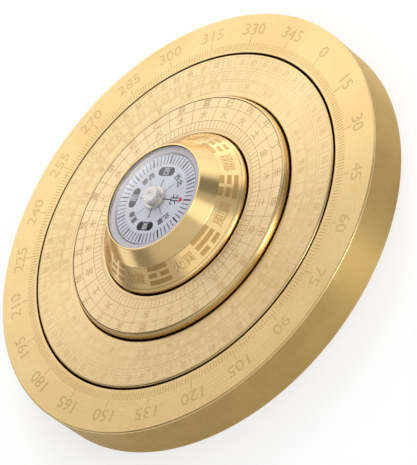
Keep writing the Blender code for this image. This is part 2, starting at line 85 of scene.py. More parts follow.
# %% Place the camera
CAMERA_AZIMUTH = 6.226
CAMERA_ELEVATION = 39.625
CAMERA_ROLL = -53.030
CAMERA_DISTANCE = 511.48 * MM
AIM_X = 8.965 * MM
AIM_Y = 1.847 * MM
LENS = 216.34
FILM_WIDTH = 36.0
# In metres, so that the camera sees the compass and the far end of the floor.
NEAREST = 0.05
FARTHEST = 20.0


def direction(azimuth, elevation):
    """Unit vector from the dial, with azimuth and elevation in degrees."""
    flat = cos(radians(elevation))
    return Vector((flat * cos(radians(azimuth)), flat * sin(radians(azimuth)), sin(radians(elevation))))


def add_camera():
    toward = direction(CAMERA_AZIMUTH, CAMERA_ELEVATION)
    camera = bpy.data.objects.new("camera", bpy.data.cameras.new("camera"))
    camera.data.sensor_width = FILM_WIDTH
    camera.data.lens = LENS
    camera.data.clip_start = NEAREST
    camera.data.clip_end = FARTHEST
    turn = toward.to_track_quat('Z', 'Y').to_matrix() @ Matrix.Rotation(radians(CAMERA_ROLL), 3, 'Z')
    place = Vector((AIM_X, AIM_Y, outer_face)) + toward * CAMERA_DISTANCE
    camera.matrix_world = Matrix.Translation(place) @ turn.to_4x4()
    bpy.context.scene.collection.objects.link(camera)
    bpy.context.scene.camera = camera
    return camera


camera = add_camera()
print("camera at", [round(c / MM) for c in camera.matrix_world.translation], "mm")

# %% [markdown]
# ## Helpers for colours and nodes
# Colours are written as the sRGB hex values that a colour picker shows, and one function turns them
# into the linear values that Blender works with. Another adds a shader node, with its settings and
# its inputs, where an input is either a plain value or an earlier node.

# %% Colour and node helpers
def hex_colour(code):
    """sRGB hex to linear red, green, blue and alpha."""
    channels = [int(code[place:place + 2], 16) / 255 for place in (1, 3, 5)]
    linear = [c / 12.92 if c <= 0.04045 else ((c + 0.055) / 1.055) ** 2.4 for c in channels]
    return (*linear, 1.0)


def add_node(tree, kind, settings=None, inputs=None):
    """Add a node, set its properties and fill its inputs. An input is a plain value, an output of
    another node, or another node, which stands for its first output."""
    node = tree.nodes.new(kind)
    for name, value in (settings or {}).items():
        setattr(node, name, value)
    for key, value in (inputs or {}).items():
        if isinstance(value, bpy.types.Node):
            value = value.outputs[0]
        if isinstance(value, bpy.types.NodeSocket):
            tree.links.new(value, node.inputs[key])
        else:
            node.inputs[key].default_value = value
    return node


def emptied(block):
    """The node tree of a new material or world, with nothing in it yet."""
    block.use_nodes = True
    block.node_tree.nodes.clear()
    return block.node_tree


print("brass reads as", [round(c, 3) for c in hex_colour("#F6D699")[:3]])

# %% [markdown]
# ## Light
# Polished metal shows its surroundings more than its own colour, so the studio is built first. The
# world is a white tent with panels hung in it: each panel is a soft-edged patch of the sky at an
# azimuth and elevation, lighter or darker than the tent. The dark gap between two panels makes the
# dark band down the hub, and the bright soft box beside it makes the flash next to that band. The
# flat dials show the back wall. Only cones and rounded edges lean far enough to show the low feet
# of the panels, so the feet may be brighter than the rest.

# %% Panels of the light tent
TENT_LEVEL = 0.65
# Each panel: azimuth, elevation, half width, half height, edge softness (degrees), brightness.
PANELS = {
    "roof": (0, 90, 200, 18, 8, 0.55),
    "front wall": (0, 54, 56, 20, 10, 1.2),
    "back wall": (147, 20, 52, 33, 9, 1.52),
    "foot of the back wall": (156, 0, 34, 12, 8, 2.5),
    "high back gap": (165, 66, 48, 12, 8, 0.5),
    "open side": (-118, 56, 30, 18, 8, 0.12),
    "low front wall": (-30, 16, 48, 14, 10, 0.8),
    "dark doorway": (-75, 4, 55, 12, 6, 0.35),
    "gap between panels": (77, 14, 12, 28, 6, 0.3),
    "bright soft box": (34, 18, 16, 32, 6, 1.5),
    "foot of the soft box": (34, 4, 12, 12, 5, 6.5),
}
print("brightest panel:", max(PANELS, key=lambda name: PANELS[name][-1]))

# %% [markdown]
# The world's nodes work out the azimuth and elevation of each direction. A panel's share of the
# light is 1 inside it and falls to 0 across its soft edge, and each panel is mixed over the ones
# before it, so a later panel hides an earlier one.

# %% Light tent
def tent_light():
    world = bpy.data.worlds.new("light tent")
    tree = emptied(world)
    look = add_node(tree, "ShaderNodeTexCoord").outputs["Generated"]
    axes = add_node(tree, "ShaderNodeSeparateXYZ", inputs={0: look}).outputs
    azimuth = add_node(tree, "ShaderNodeMath", {"operation": 'ARCTAN2'}, {0: axes[1], 1: axes[0]})
    elevation = add_node(tree, "ShaderNodeMath", {"operation": 'ARCSINE'}, {0: axes[2]})
    level = TENT_LEVEL
    for azimuth_at, elevation_at, half_width, half_height, soft, brightness in PANELS.values():
        aside = add_node(tree, "ShaderNodeMath", {"operation": 'SUBTRACT'},
                         {0: azimuth, 1: radians(azimuth_at)})
        wrapped = add_node(tree, "ShaderNodeMath", {"operation": 'WRAP'}, {0: aside, 1: pi, 2: -pi})
        above = add_node(tree, "ShaderNodeMath", {"operation": 'SUBTRACT'},
                         {0: elevation, 1: radians(elevation_at)})
        shares = []
        for offset, half in ((wrapped, half_width), (above, half_height)):
            away = add_node(tree, "ShaderNodeMath", {"operation": 'ABSOLUTE'}, {0: offset})
            shares.append(add_node(tree, "ShaderNodeMapRange", {"interpolation_type": 'SMOOTHSTEP'},
                                   {"Value": away, "From Min": radians(half - soft), "To Min": 1.0,
                                    "From Max": radians(half + soft), "To Max": 0.0}))
        mask = add_node(tree, "ShaderNodeMath", {"operation": 'MULTIPLY'}, dict(enumerate(shares)))
        level = add_node(tree, "ShaderNodeMix", {"data_type": 'FLOAT'},
                         {"Factor": mask, "A": level, "B": brightness})
    back = add_node(tree, "ShaderNodeBackground", inputs={"Strength": level})
    add_node(tree, "ShaderNodeOutputWorld", inputs={"Surface": back})
    bpy.context.scene.world = world
    return tree


print("tent panels:", len(PANELS), "nodes:", len(tent_light().nodes))

# %% [markdown]
# Two lamps bring the floor and the card up to their own colour: a wide one overhead, and a smaller
# one over the back wall that gives the soft shadow its side. They are kept out of the reflections,
# because a real tent spreads its lamps too wide for them to show as spots on the brass.

# %% Lamps and colour settings
LAMP_DISTANCE = 1.0
# Each lamp: azimuth, elevation, width in metres, power in watts.
LAMPS = {"overhead lamp": (90, 85, 0.9, 2.2), "key lamp": (148, 32, 0.35, 2.5)}


def add_lamp(name, azimuth, elevation, size, power):
    """A round soft lamp that looks at the compass, and is kept out of reflections."""
    lamp = bpy.data.objects.new(name, bpy.data.lights.new(name, 'AREA'))
    lamp.data.shape = 'DISK'
    lamp.data.size = size
    lamp.data.energy = power
    toward = direction(azimuth, elevation)
    place = Matrix.Translation(toward * LAMP_DISTANCE)
    lamp.matrix_world = place @ toward.to_track_quat('Z', 'Y').to_matrix().to_4x4()
    lamp.visible_glossy = False
    lamp.visible_transmission = False
    bpy.context.scene.collection.objects.link(lamp)


for lamp_name, placing in LAMPS.items():
    add_lamp(lamp_name, *placing)
bpy.context.scene.view_settings.view_transform = 'Standard'
print("lamps:", len(LAMPS), "view transform:", bpy.context.scene.view_settings.view_transform)

# %% [markdown]
# ## Turned shapes
# Everything here was made on a lathe, so one function serves all: it draws half the cross-section
# as a line of points and lets the Screw modifier carry it round the axis. First come the helpers
# that every shape needs: one turns an object with modifiers into a plain mesh, and one merges
# doubled points before it turns the faces outwards.

# %% Mesh helpers
WELD = 0.001 * MM


def bake(obj, name):
    """The object as the modifiers leave it, as one plain mesh. The object itself is removed."""
    view = bpy.context.evaluated_depsgraph_get()
    mesh = bpy.data.meshes.new_from_object(obj.evaluated_get(view), depsgraph=view)
    mesh.name = name
    bpy.data.objects.remove(obj)
    return mesh


def in_scene(name, mesh):
    obj = bpy.data.objects.new(name, mesh)
    bpy.context.scene.collection.objects.link(obj)
    return obj


def closed_up(mesh):
    """Merge doubled points and turn every face outwards."""
    shape = bmesh.new()
    shape.from_mesh(mesh)
    bmesh.ops.remove_doubles(shape, verts=shape.verts, dist=WELD)
    bmesh.ops.recalc_face_normals(shape, faces=shape.faces)
    shape.to_mesh(mesh)
    shape.free()


print("points nearer than", WELD / MM, "mm are merged")

# %% [markdown]
# The turning itself. The normals are recalculated after the doubles are merged, and a Weighted
# Normal modifier keeps the wide flat faces flat in the shading while the small rounds beside them
# stay smooth.

# %% Turning helper
LATHE_STEPS = 288
SHARP_ANGLE = radians(32)


def turned(name, profile, steps=LATHE_STEPS, ring=True):
    """A turned mesh from (radius, height) points. A ring's profile closes on itself."""
    line = bpy.data.meshes.new(name + " profile")
    last = len(profile) - 1
    edges = [(index, index + 1) for index in range(last)]
    if ring:
        edges.append((last, 0))
    line.from_pydata([(radius, 0, height) for radius, height in profile], edges, [])
    work = in_scene(name + " work", line)
    screw = work.modifiers.new("lathe", 'SCREW')
    screw.angle = 2 * pi
    screw.steps = steps
    screw.render_steps = steps
    screw.use_merge_vertices = True
    screw.merge_threshold = WELD
    mesh = bake(work, name)
    closed_up(mesh)
    mesh.shade_smooth()
    mesh.set_sharp_from_angle(angle=SHARP_ANGLE)
    work = in_scene(name + " work", mesh)
    weighted = work.modifiers.new("even shading", 'WEIGHTED_NORMAL')
    weighted.keep_sharp = True
    return bake(work, name)


def arc(radius_at, height_at, size, start, end, steps=5):
    """Profile points on an arc, from one angle to another in degrees."""
    angles = [radians(start + (end - start) * step / steps) for step in range(steps + 1)]
    return [(radius_at + size * cos(a), height_at + size * sin(a)) for a in angles]


print("lathe steps:", LATHE_STEPS)

# %% [markdown]
# ## Turned brass
# The dials are brass, faced on a lathe with a fine feed and then brushed. Brass is a metal with a
# pale yellow reflection, so its colour is the base colour of a fully metallic shader, which keeps
# the default index of refraction. The tool leaves concentric marks about 0.1 mm apart. They stretch
# every highlight across the marks, which is anisotropy along a radial tangent, and they make
# brightness vary round the dial like a fan. A cutting tool also leaves marks with one long flank,
# so the surface reflects as if it leaned outwards by a few degrees. Marks of 0.1 mm are too fine
# for the picture, so they are drawn 0.35 mm apart, in roughness and in a shallow bump.

# %% Wear of a turned surface
MARK_SPACING = 0.35 * MM
GRAIN_SIZE = 0.6 * MM


def turning_marks(tree, place, flat):
    """Marks that run round the axis on faces and walls alike, roughened by a fine grain."""
    radius = add_node(tree, "ShaderNodeVectorMath", {"operation": 'LENGTH'}, {0: flat})
    axes = add_node(tree, "ShaderNodeSeparateXYZ", inputs={0: place}).outputs
    along = add_node(tree, "ShaderNodeMath", {"operation": 'SUBTRACT'},
                     {0: radius.outputs["Value"], 1: axes[2]})
    feed = add_node(tree, "ShaderNodeMath", {"operation": 'DIVIDE'}, {0: along, 1: MARK_SPACING})
    marks = add_node(tree, "ShaderNodeTexNoise", {"noise_dimensions": '1D'},
                     {"W": feed, "Scale": 1.0, "Detail": 3.0})
    grain = add_node(tree, "ShaderNodeTexNoise", {}, {"Vector": place, "Scale": 1 / GRAIN_SIZE,
                                                       "Detail": 2.0})
    return add_node(tree, "ShaderNodeMath", {"operation": 'ADD'}, {0: marks, 1: grain})


print("turning marks are drawn", round(MARK_SPACING / MM, 2), "mm apart")

# %% [markdown]
# The long flank of the marks is a lean of the shading normal: away from the axis, by the same few
# degrees all round. It has to be added in world space, where Blender keeps its normals.

# %% Lean of a turned surface
def leaned_outwards(tree, flat, bump, lean):
    """The bumped normal, leaned away from the axis by some degrees."""
    outward = add_node(tree, "ShaderNodeVectorTransform",
                       {"vector_type": 'VECTOR', "convert_from": 'OBJECT', "convert_to": 'WORLD'},
                       {0: flat})
    unit = add_node(tree, "ShaderNodeVectorMath", {"operation": 'NORMALIZE'}, {0: outward})
    leaned = add_node(tree, "ShaderNodeVectorMath", {"operation": 'MULTIPLY_ADD'},
                      {0: unit, 1: (tan(radians(lean)),) * 3, 2: bump})
    return add_node(tree, "ShaderNodeVectorMath", {"operation": 'NORMALIZE'}, {0: leaned})


print("a lean of 4 degrees turns what the brass mirrors by", 2 * 4, "degrees")

# %% [markdown]
# The shader puts these together. Handling has left slightly duller patches of about a centimetre
# on the brass, so the colour goes between two close values, and the worn marks spread the
# roughness a little on both sides of its plain value.

# %% Turned brass
TARNISH_SIZE = 14 * MM
TARNISH_RANGE = (0.35, 0.7)
WEAR_RANGE = (0.7, 1.3)
SMOOTHEST = 0.85
MATTEST = 1.15
ACROSS_THE_MARKS = 0.25


def brass(name, bright, dull, roughness, spread, lean, relief):
    """Turned brass: two colours, roughness, anisotropy, outward lean in degrees, bump in metres."""
    material = bpy.data.materials.new(name)
    tree = emptied(material)
    place = add_node(tree, "ShaderNodeTexCoord").outputs["Object"]
    flat = add_node(tree, "ShaderNodeVectorMath", {"operation": 'MULTIPLY'}, {0: place, 1: (1, 1, 0)})
    worn = turning_marks(tree, place, flat)
    tarnish = add_node(tree, "ShaderNodeTexNoise", {}, {"Vector": place, "Scale": 1 / TARNISH_SIZE,
                                                         "Detail": 4.0, "Roughness": 0.6})
    patchy = add_node(tree, "ShaderNodeMapRange", {"interpolation_type": 'SMOOTHSTEP'},
                      {"Value": tarnish, "From Min": TARNISH_RANGE[0], "From Max": TARNISH_RANGE[1]})
    colour = add_node(tree, "ShaderNodeMix", {"data_type": 'RGBA'},
                      {"Factor": patchy, 6: hex_colour(bright), 7: hex_colour(dull)})
    matt = add_node(tree, "ShaderNodeMapRange", {},
                    {"Value": worn, "From Min": WEAR_RANGE[0], "From Max": WEAR_RANGE[1],
                     "To Min": roughness * SMOOTHEST, "To Max": roughness * MATTEST})
    bump = add_node(tree, "ShaderNodeBump", {}, {"Strength": 1.0, "Distance": relief, "Height": worn})
    tangent = add_node(tree, "ShaderNodeTangent", {"direction_type": 'RADIAL', "axis": 'Z'})
    shader = add_node(tree, "ShaderNodeBsdfPrincipled", {},
                      {"Base Color": colour.outputs[2], "Metallic": 1.0, "Roughness": matt,
                       "Anisotropic": spread, "Anisotropic Rotation": ACROSS_THE_MARKS,
                       "Normal": leaned_outwards(tree, flat, bump, lean), "Tangent": tangent})
    add_node(tree, "ShaderNodeOutputMaterial", inputs={"Surface": shader})
    return material


print("patches of", round(TARNISH_SIZE / MM), "mm over marks of", round(MARK_SPACING / MM, 2), "mm")

# %% [markdown]
# One lathe gives many finishes. A sharp tool and a brush leave the satin of the dials, and polishing
# takes the marks off the hub. The side wall and the walls in the grooves are rougher, and their
# darker colour is painted shade. Etching leaves brass matt and a little darker than the face round
# it: the degree scale is etched deepest, the hexagrams hardly at all.

# %% Brass finishes
# Satin: pale, with highlights that fan out round the dial. The finely etched dials look paler.
SATIN = (0.27, 0.75, 4.0, 0.0001 * MM)
satin_brass = brass("satin turned brass", "#F6D699", "#F0CE8F", *SATIN)
middle_brass = brass("satin brass, finely etched", "#F5D8A2", "#EFD098", *SATIN)
inner_brass = brass("satin brass, etched in cells", "#F5DAAA", "#EFD29F", *SATIN)
# Turned with a fine feed and left unbrushed, with a soft sheen drawn up and down the wall; its darker
# colour is painted shade.
side_brass_painted_shade = brass("fine turned brass with painted shade", "#D0B172", "#C5A668", 0.5, 0.95, 0.0, 0.0004 * MM)
# Deep in a groove: dull, and dark brown, which is painted shade.
groove_brass_painted_shade = brass("rough groove brass with painted shade", "#8A6A3C", "#7A5C32", 0.42, 0.6, 0.0, 0.0008 * MM)
# Buffed after turning: clear bands of light and dark.
polished_brass = brass("polished turned brass", "#F7D698", "#F2CF8E", 0.15, 0.45, 0.0, 0.0003 * MM)
# Rounded by hand on the lathe: a soft line of light along the edge.
edge_brass = brass("rounded turned brass", "#E4C88E", "#DABD82", 0.24, 0.45, 0.0, 0.0003 * MM)
# Etched with acid: matt, and darker the deeper it goes.
deep_etching = brass("deeply etched brass", "#E9C78D", "#DEBC82", 0.42, 0.0, 3.5, 0.001 * MM)
light_etching = brass("lightly etched brass", "#ECCE98", "#E5C690", 0.31, 0.7, 4.0, 0.0004 * MM)
faint_etching = brass("barely etched brass", "#F3D5A0", "#EDCE97", 0.28, 0.745, 4.0, 0.00015 * MM)
# Turned aluminium: pale and soft, brushed on the lathe.
silver = brass("turned aluminium", "#DAD1CB", "#C8BFB9", 0.24, 0.7, 0.0, 0.0006 * MM)
print("turned finishes:", ", ".join(material.name for material in bpy.data.materials))

# %% [markdown]
# The same idea, a noise on top of one plain value, serves the smaller pieces too: steel, nylon,
# rubber, grey plastic. Each has its own colour, roughness and grain, so one function makes them.

# %% Materials with a fine grain
def grained(name, light, dark, metallic, roughness, grain, relief, gloss=0.5):
    """A material with two close colours and a fine grain of a real size, in colour and bump."""
    material = bpy.data.materials.new(name)
    tree = emptied(material)
    place = add_node(tree, "ShaderNodeTexCoord").outputs["Object"]
    noise = add_node(tree, "ShaderNodeTexNoise", {}, {"Vector": place, "Scale": 1 / grain,
                                                       "Detail": 3.0})
    colour = add_node(tree, "ShaderNodeMix", {"data_type": 'RGBA'},
                      {"Factor": noise, 6: hex_colour(light), 7: hex_colour(dark)})
    matt = add_node(tree, "ShaderNodeMapRange", {}, {"Value": noise, "To Min": roughness * SMOOTHEST,
                                                     "To Max": roughness * MATTEST})
    bump = add_node(tree, "ShaderNodeBump", {}, {"Strength": 1.0, "Distance": relief, "Height": noise})
    shader = add_node(tree, "ShaderNodeBsdfPrincipled", {},
                      {"Base Color": colour.outputs[2], "Metallic": metallic, "Roughness": matt,
                       "Specular IOR Level": gloss, "Normal": bump})
    add_node(tree, "ShaderNodeOutputMaterial", inputs={"Surface": shader})
    return material


# Etched through a resist: a fine even grain that no longer shows the tool.
middle_etching = grained("etched brass", "#D5B684", "#CAAB79", 1.0, 0.36, 0.08 * MM, 0.002 * MM)
polished_etching = grained("etched polished brass", "#CDA86C", "#C29C60", 1.0, 0.28, 0.08 * MM,
                           0.001 * MM)
# Ground steel: grey, with a fine grain from the wheel.
ground_steel = grained("ground steel", "#C9C9CB", "#B4B4B8", 1.0, 0.28, 0.12 * MM, 0.001 * MM)
# Bearing steel is lapped until it mirrors.
bearing_steel = grained("lapped bearing steel", "#D2D2D6", "#C6C6CB", 1.0, 0.08, 0.3 * MM, 0.0)
# Nickel plating on a ferrite magnet: a warm grey shine.
nickel = grained("nickel plating", "#B9B4AA", "#ABA69C", 1.0, 0.22, 0.3 * MM, 0.0005 * MM)
print("metals so far:", len(bpy.data.materials))

# %% [markdown]
# What isn't metal is moulded, cut or printed. Each has the soft shine of its own surface: waxy
# nylon, dull rubber, card with a thin coating, and ink that drinks nearly all the light.

# %% Plastics, card and ink
# Natural nylon, moulded: off-white and waxy.
nylon = grained("moulded nylon", "#D9D0B4", "#CFC5A6", 0.0, 0.5, 0.2 * MM, 0.002 * MM)
# Moulded rubber: black and dull.
rubber = grained("moulded rubber", "#1C1C1D", "#141415", 0.0, 0.75, 0.15 * MM, 0.004 * MM)
# Grey ABS, moulded: a fine spark-eroded texture gives it a soft sheen.
grey_plastic = grained("moulded grey plastic", "#BEB8BC", "#B0AAAF", 0.0, 0.42, 0.1 * MM, 0.001 * MM)
# Coated white card, printed: almost smooth.
white_card = grained("coated white card", "#CACAD6", "#C3C3D0", 0.0, 0.6, 0.25 * MM, 0.0005 * MM, 0.2)
# Printing ink on the card, matt, so that it stays black under the tent.
black_ink = grained("black ink", "#15141A", "#0E0D12", 0.0, 0.6, 0.2 * MM, 0.0, 0.1)
red_ink = grained("red ink", "#C8303A", "#BC2933", 0.0, 0.6, 0.2 * MM, 0.0, 0.1)
# Synthetic ruby, ground and polished: deep red and glassy.
jewel_red = grained("synthetic ruby", "#8E1530", "#7C1029", 0.0, 0.05, 0.4 * MM, 0.0)
print("materials so far:", len(bpy.data.materials))

# %% [markdown]
# ## Turned brass pieces
# Each finished piece goes into the scene with its material. Two notes go with it: the body that
# it moves with, and the imported pieces that it stands in for.

# %% Finish a piece
def finish_piece(name, mesh, material, body, nodes=()):
    """Put a finished mesh in the scene with its material, body, slot and the nodes it replaces."""
    obj = in_scene(name, mesh)
    mesh.materials.clear()
    mesh.materials.append(material)
    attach(obj, body)
    if nodes:
        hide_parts(*nodes)
    print(name, "triangles:", sum(len(face.vertices) - 2 for face in mesh.polygons))
    return obj


def finish_turned(name, profile, material, body, slot, node, **lathe):
    """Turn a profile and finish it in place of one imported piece."""
    return finish_piece(name, turned(name, profile, **lathe), material, body, [node])


# %% [markdown]
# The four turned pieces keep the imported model's sections, with finer rounds and more facets. The
# outer ring comes first. It is faced, bored and rounded in one setting, and its shoulder underneath
# is where the base plate sits.

# %% Outer ring
EDGE_ROUND = 0.3 * MM
BORE_CHAMFER = 0.12 * MM
FOOT_CHAMFER = 0.3 * MM
PLATE_SEAT = 4.95 * MM
SHOULDER = 1.9 * MM


def outer_ring_profile():
    seat = outer_bore + PLATE_SEAT
    profile = arc(outer_bore + BORE_CHAMFER, outer_face - BORE_CHAMFER, BORE_CHAMFER, 180, 90)
    profile += arc(body_radius - EDGE_ROUND, outer_face - EDGE_ROUND, EDGE_ROUND, 90, 0)
    profile += [(body_radius, FOOT_CHAMFER), (body_radius - FOOT_CHAMFER, 0), (seat, 0),
                (seat, SHOULDER), (outer_bore, SHOULDER)]
    return profile


outer_ring = finish_turned("outer_ring_turned", outer_ring_profile(), satin_brass, "base",
                           "satin_brass", "outer_ring")

# %% [markdown]
# The side wall of the outer ring was turned with a finer feed than the faces, and its brass is
# darker, which is painted shade. The walls of the grooves between the rings are duller and painted
# dark brown as shade, and the rounded outer edges were eased by hand, which leaves a soft line of
# light. So the faces of the mesh that look sideways or lean outwards take other material slots.

# %% Finishes on the walls
# A wall is steeper than the first of these, and a flat face is flatter than the second.
STEEP = 0.5
FLAT = 0.98


def finish_walls(obj, inside, outside, edge, inside_below, outside_below):
    """Finish the walls under a height, looking in or out, and the rounded outer edges."""
    for material in (inside, outside, edge):
        obj.data.materials.append(material)
    for face in obj.data.polygons:
        upright = abs(face.normal.z)
        outwards = face.normal.dot(face.center * Vector((1, 1, 0))) > 0
        if upright < STEEP and not outwards and face.center.z < inside_below:
            face.material_index = 1
        elif upright < STEEP and outwards and face.center.z < outside_below:
            face.material_index = 2
        elif upright < FLAT and outwards:
            face.material_index = 3
    return sum(face.material_index > 0 for face in obj.data.polygons)


# The bore takes the groove brass and the side wall the darker brass: both colours are painted shade.
print("wall faces:", finish_walls(outer_ring, groove_brass_painted_shade, side_brass_painted_shade, edge_brass,
                                  outer_face, outer_face - EDGE_ROUND))

# %% [markdown]
# The middle and inner rings are stepped: a thick rim with the face, and a thin web in to the
# bearing. Both are turned from bar and parted off. Their outer edge is rounded, and the inner
# ring's is wide enough to see, with a fine border line cut beside it. They differ only in their
# sizes, so one function draws both.

# %% Middle and inner rings
FACE_CHAMFER = 0.25 * MM
# The rounded edge of each ring: how far it runs in, and how far it drops.
MIDDLE_EDGE = (0.38 * MM, 0.38 * MM)
INNER_EDGE = (0.6 * MM, 1.2 * MM)
EDGE_STEPS = 8
BORDER_LINE = 0.18 * MM
WEB = 2.5 * MM
RACE_SEAT = 4.6 * MM
# How far below the neighbouring face the outer walls take the groove brass with its painted shade.
MIDDLE_SHADE_DEPTH = 0.6 * MM
INNER_SHADE_DEPTH = 0.3 * MM


def stepped_ring_profile(outer, bore, face, bottom, edge, groove_top):
    """The edge is a quarter of an ellipse: how far it runs in, and how far it drops."""
    run, drop = edge
    profile = arc(bore + FACE_CHAMFER, face - FACE_CHAMFER, FACE_CHAMFER, 180, 90)
    if drop > BORDER_LINE + FACE_CHAMFER:
        profile += [(outer - run - BORDER_LINE, face), (outer - run, face - BORDER_LINE)]
    profile += [(outer - run + run * x, face - drop + drop * z)
                for x, z in arc(0, 0, 1, 90, 0, EDGE_STEPS)]
    profile += [(outer, groove_top), (outer, bottom), (RACE_SEAT, bottom), (RACE_SEAT, bottom + WEB),
                (bore, bottom + WEB)]
    return profile


def dial_ring(name, node, face_brass, bore, edge, groove_top):
    """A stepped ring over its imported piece, which has the same name as its body."""
    outer, face, bottom = reach_of(node)
    profile = stepped_ring_profile(outer, bore, face, bottom, edge, groove_top)
    ring = finish_turned(name, profile, face_brass, node, "satin_brass", node)
    # The walls in the groove get the groove brass, which is painted dark as shade.
    finish_walls(ring, groove_brass_painted_shade, groove_brass_painted_shade, edge_brass, face, groove_top)


dial_ring("middle_ring_turned", "middle_ring", middle_brass, middle_bore, MIDDLE_EDGE,
          outer_face - MIDDLE_SHADE_DEPTH)
dial_ring("inner_ring_turned", "inner_ring", inner_brass, inner_bore, INNER_EDGE,
          middle_face - INNER_SHADE_DEPTH)

# %% [markdown]
# The hub is one turning too: a thin lip round the window, a polished upper cone, a fine groove, and
# a lower cone that carries the trigrams. It is bored for the capsule above and the bearing below.

# %% Hub
RIM_ROUND = 0.12 * MM
MOUTH = 10.8 * MM
RIM_RADIUS = 11.12 * MM
FOLD_RADIUS = 13.15 * MM
FOLD_HEIGHT = 13.8 * MM
BASE_HEIGHT = 10.7 * MM
FOLD_GROOVE = 0.2 * MM
FOLD_GROOVE_DEPTH = 0.06 * MM
HUB_EDGE = 0.12 * MM
CONE_SIDE = 3.5 * MM
HUB_SHADE_DEPTH = 0.2 * MM
FLOOR_LIP = 4.2 * MM
FLOOR = 11.4 * MM
FLOOR_LIP_THICKNESS = 1.0 * MM
cone_slope = atan2(FOLD_HEIGHT - BASE_HEIGHT, hub_radius - FOLD_RADIUS)
hub_groove_top = inner_face - HUB_SHADE_DEPTH


def on_cone(share):
    """Radius and height on the lower cone, from 0 at its base to 1 at the groove."""
    return (hub_radius + (FOLD_RADIUS - hub_radius) * share,
            BASE_HEIGHT + (FOLD_HEIGHT - BASE_HEIGHT) * share)


def hub_profile():
    foot = (FOLD_RADIUS + FOLD_GROOVE * cos(cone_slope), FOLD_HEIGHT - FOLD_GROOVE * sin(cone_slope))
    bed = ((FOLD_RADIUS + foot[0]) / 2 - FOLD_GROOVE_DEPTH * sin(cone_slope),
           (FOLD_HEIGHT + foot[1]) / 2 - FOLD_GROOVE_DEPTH * cos(cone_slope))
    profile = [(MOUTH, rim_height)]
    profile += arc(RIM_RADIUS - RIM_ROUND, rim_height - RIM_ROUND, RIM_ROUND, 90, 0)
    profile += [(FOLD_RADIUS, FOLD_HEIGHT), bed, foot, on_cone(HUB_EDGE / CONE_SIDE),
                (hub_radius, BASE_HEIGHT - HUB_EDGE), (hub_radius, hub_groove_top),
                (hub_radius, hub_bottom), (RACE_SEAT, hub_bottom),
                (RACE_SEAT, FLOOR - FLOOR_LIP_THICKNESS), (FLOOR_LIP, FLOOR - FLOOR_LIP_THICKNESS),
                (FLOOR_LIP, FLOOR), (MOUTH, FLOOR)]
    return profile


hub = finish_turned("hub_turned", hub_profile(), polished_brass, "hub", "polished_brass", "hub_cone")
# The hub's walls in its groove get the groove brass, which is painted dark as shade.
finish_walls(hub, groove_brass_painted_shade, groove_brass_painted_shade, polished_brass, hub_groove_top, hub_groove_top)

# %% [markdown]
# ## Bars round a circle
# Degree ticks, cell dividers and the card's spokes are all the same thing: a thin bar repeated round
# the axis. Geometry Nodes suits that, because one small tree with named inputs makes them all. Two
# functions serve this tree and a later one. The first starts a tree with its named inputs. The
# second ends it: it sets a piece down on a point for each copy, makes the copies real and gives
# them their material.

# %% Start and end of a node tree
def new_tree(name, sockets):
    """A tree with named inputs, and by name those inputs and the number of each copy."""
    tree = bpy.data.node_groups.new(name, "GeometryNodeTree")
    for label, kind in sockets:
        tree.interface.new_socket(name=label, in_out='INPUT', socket_type="NodeSocket" + kind)
    tree.interface.new_socket(name="Geometry", in_out='OUTPUT', socket_type="NodeSocketGeometry")
    value = {socket.name: socket for socket in tree.nodes.new("NodeGroupInput").outputs}
    value["Index"] = add_node(tree, "GeometryNodeInputIndex")
    return tree, value


def set_down(tree, value, piece):
    """Set a piece down at each place that the values give, leaned and turned, and end the tree."""
    place = add_node(tree, "ShaderNodeCombineXYZ",
                     inputs={0: value["east"], 1: value["north"], 2: value["Height"]})
    points = add_node(tree, "GeometryNodePoints", inputs={"Count": value["Count"], "Position": place})
    facing = add_node(tree, "ShaderNodeCombineXYZ",
                      inputs={1: value.get("lean", 0.0), 2: value["angle"]})
    rotation = add_node(tree, "FunctionNodeEulerToRotation", inputs={0: facing})
    copies = add_node(tree, "GeometryNodeInstanceOnPoints",
                      inputs={"Points": points, "Selection": value.get("kept", True),
                              "Instance": piece, "Rotation": rotation})
    solid = add_node(tree, "GeometryNodeRealizeInstances", inputs={0: copies})
    painted = add_node(tree, "GeometryNodeSetMaterial",
                       inputs={"Geometry": solid, "Material": value["Material"]})
    add_node(tree, "NodeGroupOutput", inputs={"Geometry": painted})
    return tree


print("every tree ends in Realize Instances and Set Material")

# %% [markdown]
# The tree places one point for each bar, puts a box on each point, and leans the boxes where the
# bars lie on a cone. Each bar lies half in the surface and half proud of it. The sums are a list, so
# that they read from top to bottom: a result, the operation, and the values that it works on.

